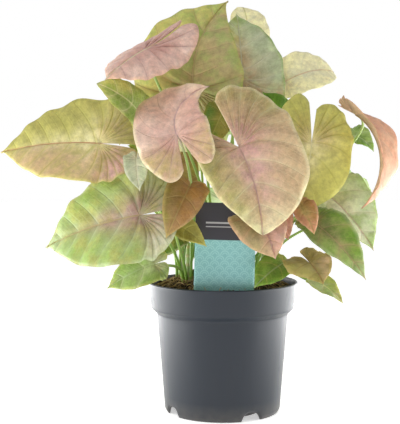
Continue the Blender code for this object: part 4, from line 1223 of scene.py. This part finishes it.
def crumb_surface(count):
    """Loose crumbs: balls of 3 rings of 6 points, each squashed, dented and turned at random.

    Point k of a crumb is centre + size (1 + 0.3 n_k) (unit ball point k) scaled by its own three factors,
    0.6 to 1.3. Most are small: size goes from the least to the most by the cube of a random share.
    """
    rng = np.random.default_rng(11)
    rise = np.linspace(-1, 1, 5)[1:-1] * 0.85
    around = np.arange(6) * pi / 3
    ring = np.stack([*polar(np.sqrt(1 - rise**2)[:, None], around), rise[:, None] + 0 * around], -1)
    ball = np.vstack([ring.reshape(-1, 3), [(0, 0, -1), (0, 0, 1)]])
    faces = np.vstack([
        grid_triangles(3, 6, wrap=True), fan(np.arange(6)[::-1], 18), fan(12 + np.arange(6), 19)
    ])
    x, y = scattered(rng, count, CRUMB_REACH)
    least, most = CRUMB_SIZES
    size = least + (most - least) * rng.uniform(0, 1, count) ** 3
    dents = 1 + 0.30 * rng.uniform(-1, 1, (count, len(ball), 1))
    stretch = rng.uniform(0.6, 1.3, (count, 1, 3))
    turn = rng.uniform(0, 2 * pi, count)[:, None]
    body = ball[None] * dents * stretch * size[:, None, None]
    body[..., 0], body[..., 1] = rotated(body[..., 0], body[..., 1], turn)
    points = body + np.stack([x, y, soil_height(x, y) + 0.5 * size], -1)[:, None]
    return repeated(points, faces, 0, rng.uniform(0.1, 1.0, count))


def fibre_surface(count):
    """Loose fibres: three-sided bars along bent lines that lie on the soil.

    A fibre's line is x = x0 + L s cos(h + k s), y = y0 + L s sin(h + k s), and z = soil height +
    0.4 mm + hump 4 s (1 - s), for s from 0 to 1. It thins towards both ends as sin(pi (0.12 + 0.76 s)).
    """
    rng = np.random.default_rng(23)
    s = np.linspace(0, 1, FIBRE_RINGS)[None, :]
    x0, y0 = scattered(rng, count, FIBRE_REACH)
    size = rng.uniform(*FIBRE_LENGTHS, (count, 1))
    heading = rng.uniform(0, 2 * pi, (count, 1)) + rng.uniform(-1.6, 1.6, (count, 1)) * s
    ahead, aside = polar(size * s, heading)
    x, y = x0[:, None] + ahead, y0[:, None] + aside
    inward = np.minimum(1, FIBRE_LIMIT / np.maximum(np.hypot(x, y), 1e-6))
    x, y = x * inward, y * inward
    z = soil_height(x, y) + 0.0004 + rng.uniform(*FIBRE_HUMPS, (count, 1)) * 4 * s * (1 - s)
    centre = np.stack([x, y, z], -1)[:, :, None, :]
    thick = rng.uniform(*FIBRE_RADII, (count, 1, 1)) * np.sin(pi * (0.12 + 0.76 * s))[..., None]
    turn = (np.arange(3) * 2 * pi / 3)[None, None, :]
    sideways = np.stack([-np.sin(heading), np.cos(heading), 0 * heading], -1)[:, :, None, :]
    up = np.array((0, 0, 1.0))
    points = centre + (thick * np.cos(turn))[..., None] * sideways + (thick * np.sin(turn))[..., None] * up
    last = 3 * (FIBRE_RINGS - 1)
    bar = np.vstack([grid_triangles(FIBRE_RINGS, 3, wrap=True), [(2, 1, 0), (last, last + 1, last + 2)]])
    return repeated(points.reshape(count, -1, 3), bar, 1, rng.uniform(0.0, 1.0, count))


def label_surface():
    """The label: a card that is half its width wide at each height, bowed back a little, and thickened.

    The half width grows from nothing at the point to the stake's, widens at the neck to the card's, and is
    card - c + sqrt(c^2 - d^2) within the corner's radius c of the top, d being the height over that arc's
    centre. The bow is y = 0.8 mm share^2.
    """
    half, stake = LABEL_WIDTH / 2, LABEL_STAKE_HALF
    levels = [
        LABEL_POINT, LABEL_POINT + LABEL_POINT_LENGTH, LABEL_SHOULDER - LABEL_NECK, LABEL_SHOULDER,
        LABEL_TOP - LABEL_CORNER,
    ]
    runs = [np.linspace(low, high, n)[1:] for low, high, n in zip(levels, levels[1:], (8, 6, 6, 20))]
    arc = levels[4] + LABEL_CORNER * np.sin(np.linspace(0, pi / 2, 12))[1:]
    z = np.concatenate([[LABEL_POINT], *runs, arc])
    lower = np.interp(z, levels[:4], [0, stake, stake, half])
    over = np.clip(z - levels[4], 0, LABEL_CORNER)
    reach = lower - LABEL_CORNER + np.sqrt(LABEL_CORNER**2 - over**2)
    share = np.linspace(-1, 1, LABEL_COLUMNS)[None, :]
    x = reach[:, None] * share
    y = LABEL_BOW * (x / half) ** 2
    upright = z[:, None] + 0 * share
    carried = {"plan": np.stack([x, upright], -1).reshape(-1, 2) / MM}
    x, upright = rotated(x, upright, -LABEL_LEAN)
    card = sheet(np.stack([x + LABEL_X, y + LABEL_Y, upright], -1), carried)
    return thickened(*card, LABEL_THICKNESS / 2, np.array((0, -1.0, 0)), (0, 0, 0))


def stem_surface(x, y, palette):
    """A stem: an upright tube that swells at each node, with the rolled tip of the next leaf on it.

    Its radius falls evenly from foot to top, times 1 + 0.10 exp(-(d / 0.9 mm)^2), d being the height over
    the nearest node, and closes over its last 12 mm as sqrt(1 - 0.97 t^2).
    """
    foot = HOLE_FLOOR + FIT_GAP
    top = float(soil_height(x, y)) + STEM_HEIGHT
    height = np.linspace(foot, top - 0.0006, STEM_RINGS)
    share = (height - foot) / (top - foot)
    radius = STEM_FOOT_RADIUS + (STEM_TOP_RADIUS - STEM_FOOT_RADIUS) * share
    off = (height + NODE_PITCH / 2) % NODE_PITCH - NODE_PITCH / 2
    radius = radius * (1 + NODE_SWELL * np.exp(-((off / 0.0009) ** 2)))
    radius = radius * np.sqrt(np.clip(1 - ease(top - STEM_TAPER, top, height) ** 2 * 0.97, 0, 1))
    line = np.stack([x + 0 * height, y + 0 * height, height], -1)
    points, triangles, ring, around = tube(line, radius, STEM_SIDES, STEM_CHANNEL)
    node = np.exp(-((off[ring] / 0.0012) ** 2))
    skin = blend_colours(np.array(palette.mint) + 0 * node[:, None], palette.green, share[ring])
    skin = blend_colours(skin, palette.tan, 0.6 * node)
    carried = {"plan": np.stack([around * 1.8, height[ring] / MM], -1), "skin": skin}
    return one_finish(points, triangles, carried)


def plant(context):
    """The settings that every operator reads."""
    return context.scene.plant_settings


class PLANT_OT_pot(bpy.types.Operator):
    """Turn the pot, with its stepped rim band, ringed underside and drain notches"""

    bl_idname = "plant.pot"
    bl_label = "Make pot"

    def execute(self, context):
        add_piece("pot_fine", pot_surface(), [moulded_polypropylene(plant(context).pot)], ["pot"])
        return {"FINISHED"}


class PLANT_OT_soil(bpy.types.Operator):
    """Mound the soil in the pot and scatter its crumbs and fibres"""

    bl_idname = "plant.soil"
    bl_label = "Make soil"

    def execute(self, context):
        look = plant(context).soil
        mix, fibre = potting_mix(look), coir(look)
        add_piece("soil_fine", soil_surface(), [mix], ["soil"])
        loose = put_together([crumb_surface(look.crumbs), fibre_surface(look.fibres)])
        add_piece("soil_crumbs", loose, [mix, fibre], [])
        return {"FINISHED"}


class PLANT_OT_label(bpy.types.Operator):
    """Cut the printed label that stands in the soil"""

    bl_idname = "plant.label"
    bl_label = "Make label"

    def execute(self, context):
        add_piece("label_fine", label_surface(), [printed_card(plant(context).label)], ["label"])
        return {"FINISHED"}


class PLANT_OT_stems(bpy.types.Operator):
    """Grow the short stem of every shoot"""

    bl_idname = "plant.stems"
    bl_label = "Grow stems"

    def execute(self, context):
        skin = stalk_skin("young_stem")
        palette = plant(context).colours
        for shoot, (x, y) in SHOOTS.items():
            surface = stem_surface(x * MM, y * MM, palette)
            add_piece("stem_" + shoot + "_fine", surface, [skin], ["stem_" + shoot])
        return {"FINISHED"}


class PLANT_OT_leaves(bpy.types.Operator):
    """Grow every leaf: its quilted blade, and its stalk running on beneath as the midrib"""

    bl_idname = "plant.leaves"
    bl_label = "Grow leaves"

    def execute(self, context):
        settings = plant(context)
        palette = settings.colours
        skins = [leaf_cuticle(settings.shape), leaf_underside(palette), stalk_skin("petiole")]
        roots = stalk_roots()
        for leaf in LEAVES:
            reach, turn = blade_frame(leaf)
            surface = put_together([
                blade_surface(leaf, reach, turn, settings.shape, palette),
                stalk_surface(leaf, reach, turn, roots[leaf.name], palette),
            ])
            add_piece(leaf.name + "_fine", surface, skins, [leaf.name])
        return {"FINISHED"}


class PLANT_OT_stage(bpy.types.Operator):
    """Set the white floor, the soft lights and the camera"""

    bl_idname = "plant.stage"
    bl_label = "Set stage"

    def execute(self, context):
        look = plant(context).stage
        bpy.ops.mesh.primitive_plane_add(size=FLOOR_SIZE, location=(0, 0, -FLOOR_DROP))
        floor = context.object
        floor.name = "floor"
        floor.data.materials.append(backlit_acrylic(look))

        world = bpy.data.worlds.new("studio")
        world.use_nodes = True
        tree = world.node_tree
        way = add_node(tree, "SeparateXYZ", add_node(tree, "TexCoord"), output=1)
        level = add_node(tree, "MapRange", way, *SURROUND_CHANGE, look.front, look.behind)
        tree.links.new(level, tree.nodes["Background"].inputs["Strength"])
        tree.nodes["Background"].inputs["Color"].default_value = (1, 1, 1, 1)
        context.scene.world = world
        context.scene.view_settings.view_transform = "Standard"

        lights = (
            ("key", (-0.35, -0.75, 1.05), (0.8, 0.8), look.key),
            ("left_softbox", (-0.35, 0.10, 0.065), (0.80, 0.17), look.left),
            ("right_softbox", (0.35, 0.10, 0.065), (0.80, 0.17), look.right),
        )
        for name, place, size, power in lights:
            lamp = bpy.data.lights.new(name, "AREA")
            lamp.shape = "RECTANGLE"
            lamp.size, lamp.size_y = size
            lamp.energy = power
            light = bpy.data.objects.new(name, lamp)
            light.location = place
            light.rotation_euler = (Vector(LIGHT_AIM) - Vector(place)).to_track_quat("-Z", "Y").to_euler()
            light.visible_camera = False
            context.scene.collection.objects.link(light)

        lens = bpy.data.cameras.new("camera")
        lens.lens = CAMERA_LENS
        lens.sensor_width = CAMERA_SENSOR
        lens.clip_start = 0.01
        lens.dof.use_dof = False
        camera = bpy.data.objects.new("camera", lens)
        camera.location = CAMERA_PLACE
        camera.rotation_euler = Euler((radians(CAMERA_TILT), 0, 0))
        context.scene.collection.objects.link(camera)
        context.scene.camera = camera
        return {"FINISHED"}


class PLANT_PT_sidebar(bpy.types.Panel):
    """Panel in the 3D view's sidebar with every setting and operator"""

    bl_idname = "PLANT_PT_sidebar"
    bl_label = "Arrowhead plant"
    bl_space_type = "VIEW_3D"
    bl_region_type = "UI"
    bl_category = "Plant"

    def draw(self, context):
        settings = plant(context)
        for group in PlantSettings.__annotations__:
            box = self.layout.box()
            box.label(text=group.capitalize())
            for key in getattr(settings, group).__annotations__:
                box.prop(getattr(settings, group), key)
        for operator in OPERATORS:
            self.layout.operator(operator.bl_idname)


OPERATORS = (
    PLANT_OT_pot, PLANT_OT_soil, PLANT_OT_label, PLANT_OT_stems, PLANT_OT_leaves, PLANT_OT_stage,
)
CLASSES = (
    LeafColours, LeafShape, PotLook, SoilLook, LabelLook, StageLook, PlantSettings, *OPERATORS,
    PLANT_PT_sidebar,
)


def register():
    """Registers the classes and puts the settings on the scene."""
    for one in CLASSES:
        bpy.utils.register_class(one)
    bpy.types.Scene.plant_settings = PointerProperty(
        type=PlantSettings, name="Plant", description="Settings of the potted plant"
    )


def unregister():
    """Takes the settings and the classes away again."""
    del bpy.types.Scene.plant_settings
    for one in reversed(CLASSES):
        bpy.utils.unregister_class(one)


def main():
    """Makes every piece in order."""
    register()
    bpy.ops.plant.pot()
    bpy.ops.plant.soil()
    bpy.ops.plant.label()
    bpy.ops.plant.stems()
    bpy.ops.plant.leaves()
    bpy.ops.plant.stage()


if __name__ == "__main__":
    main()
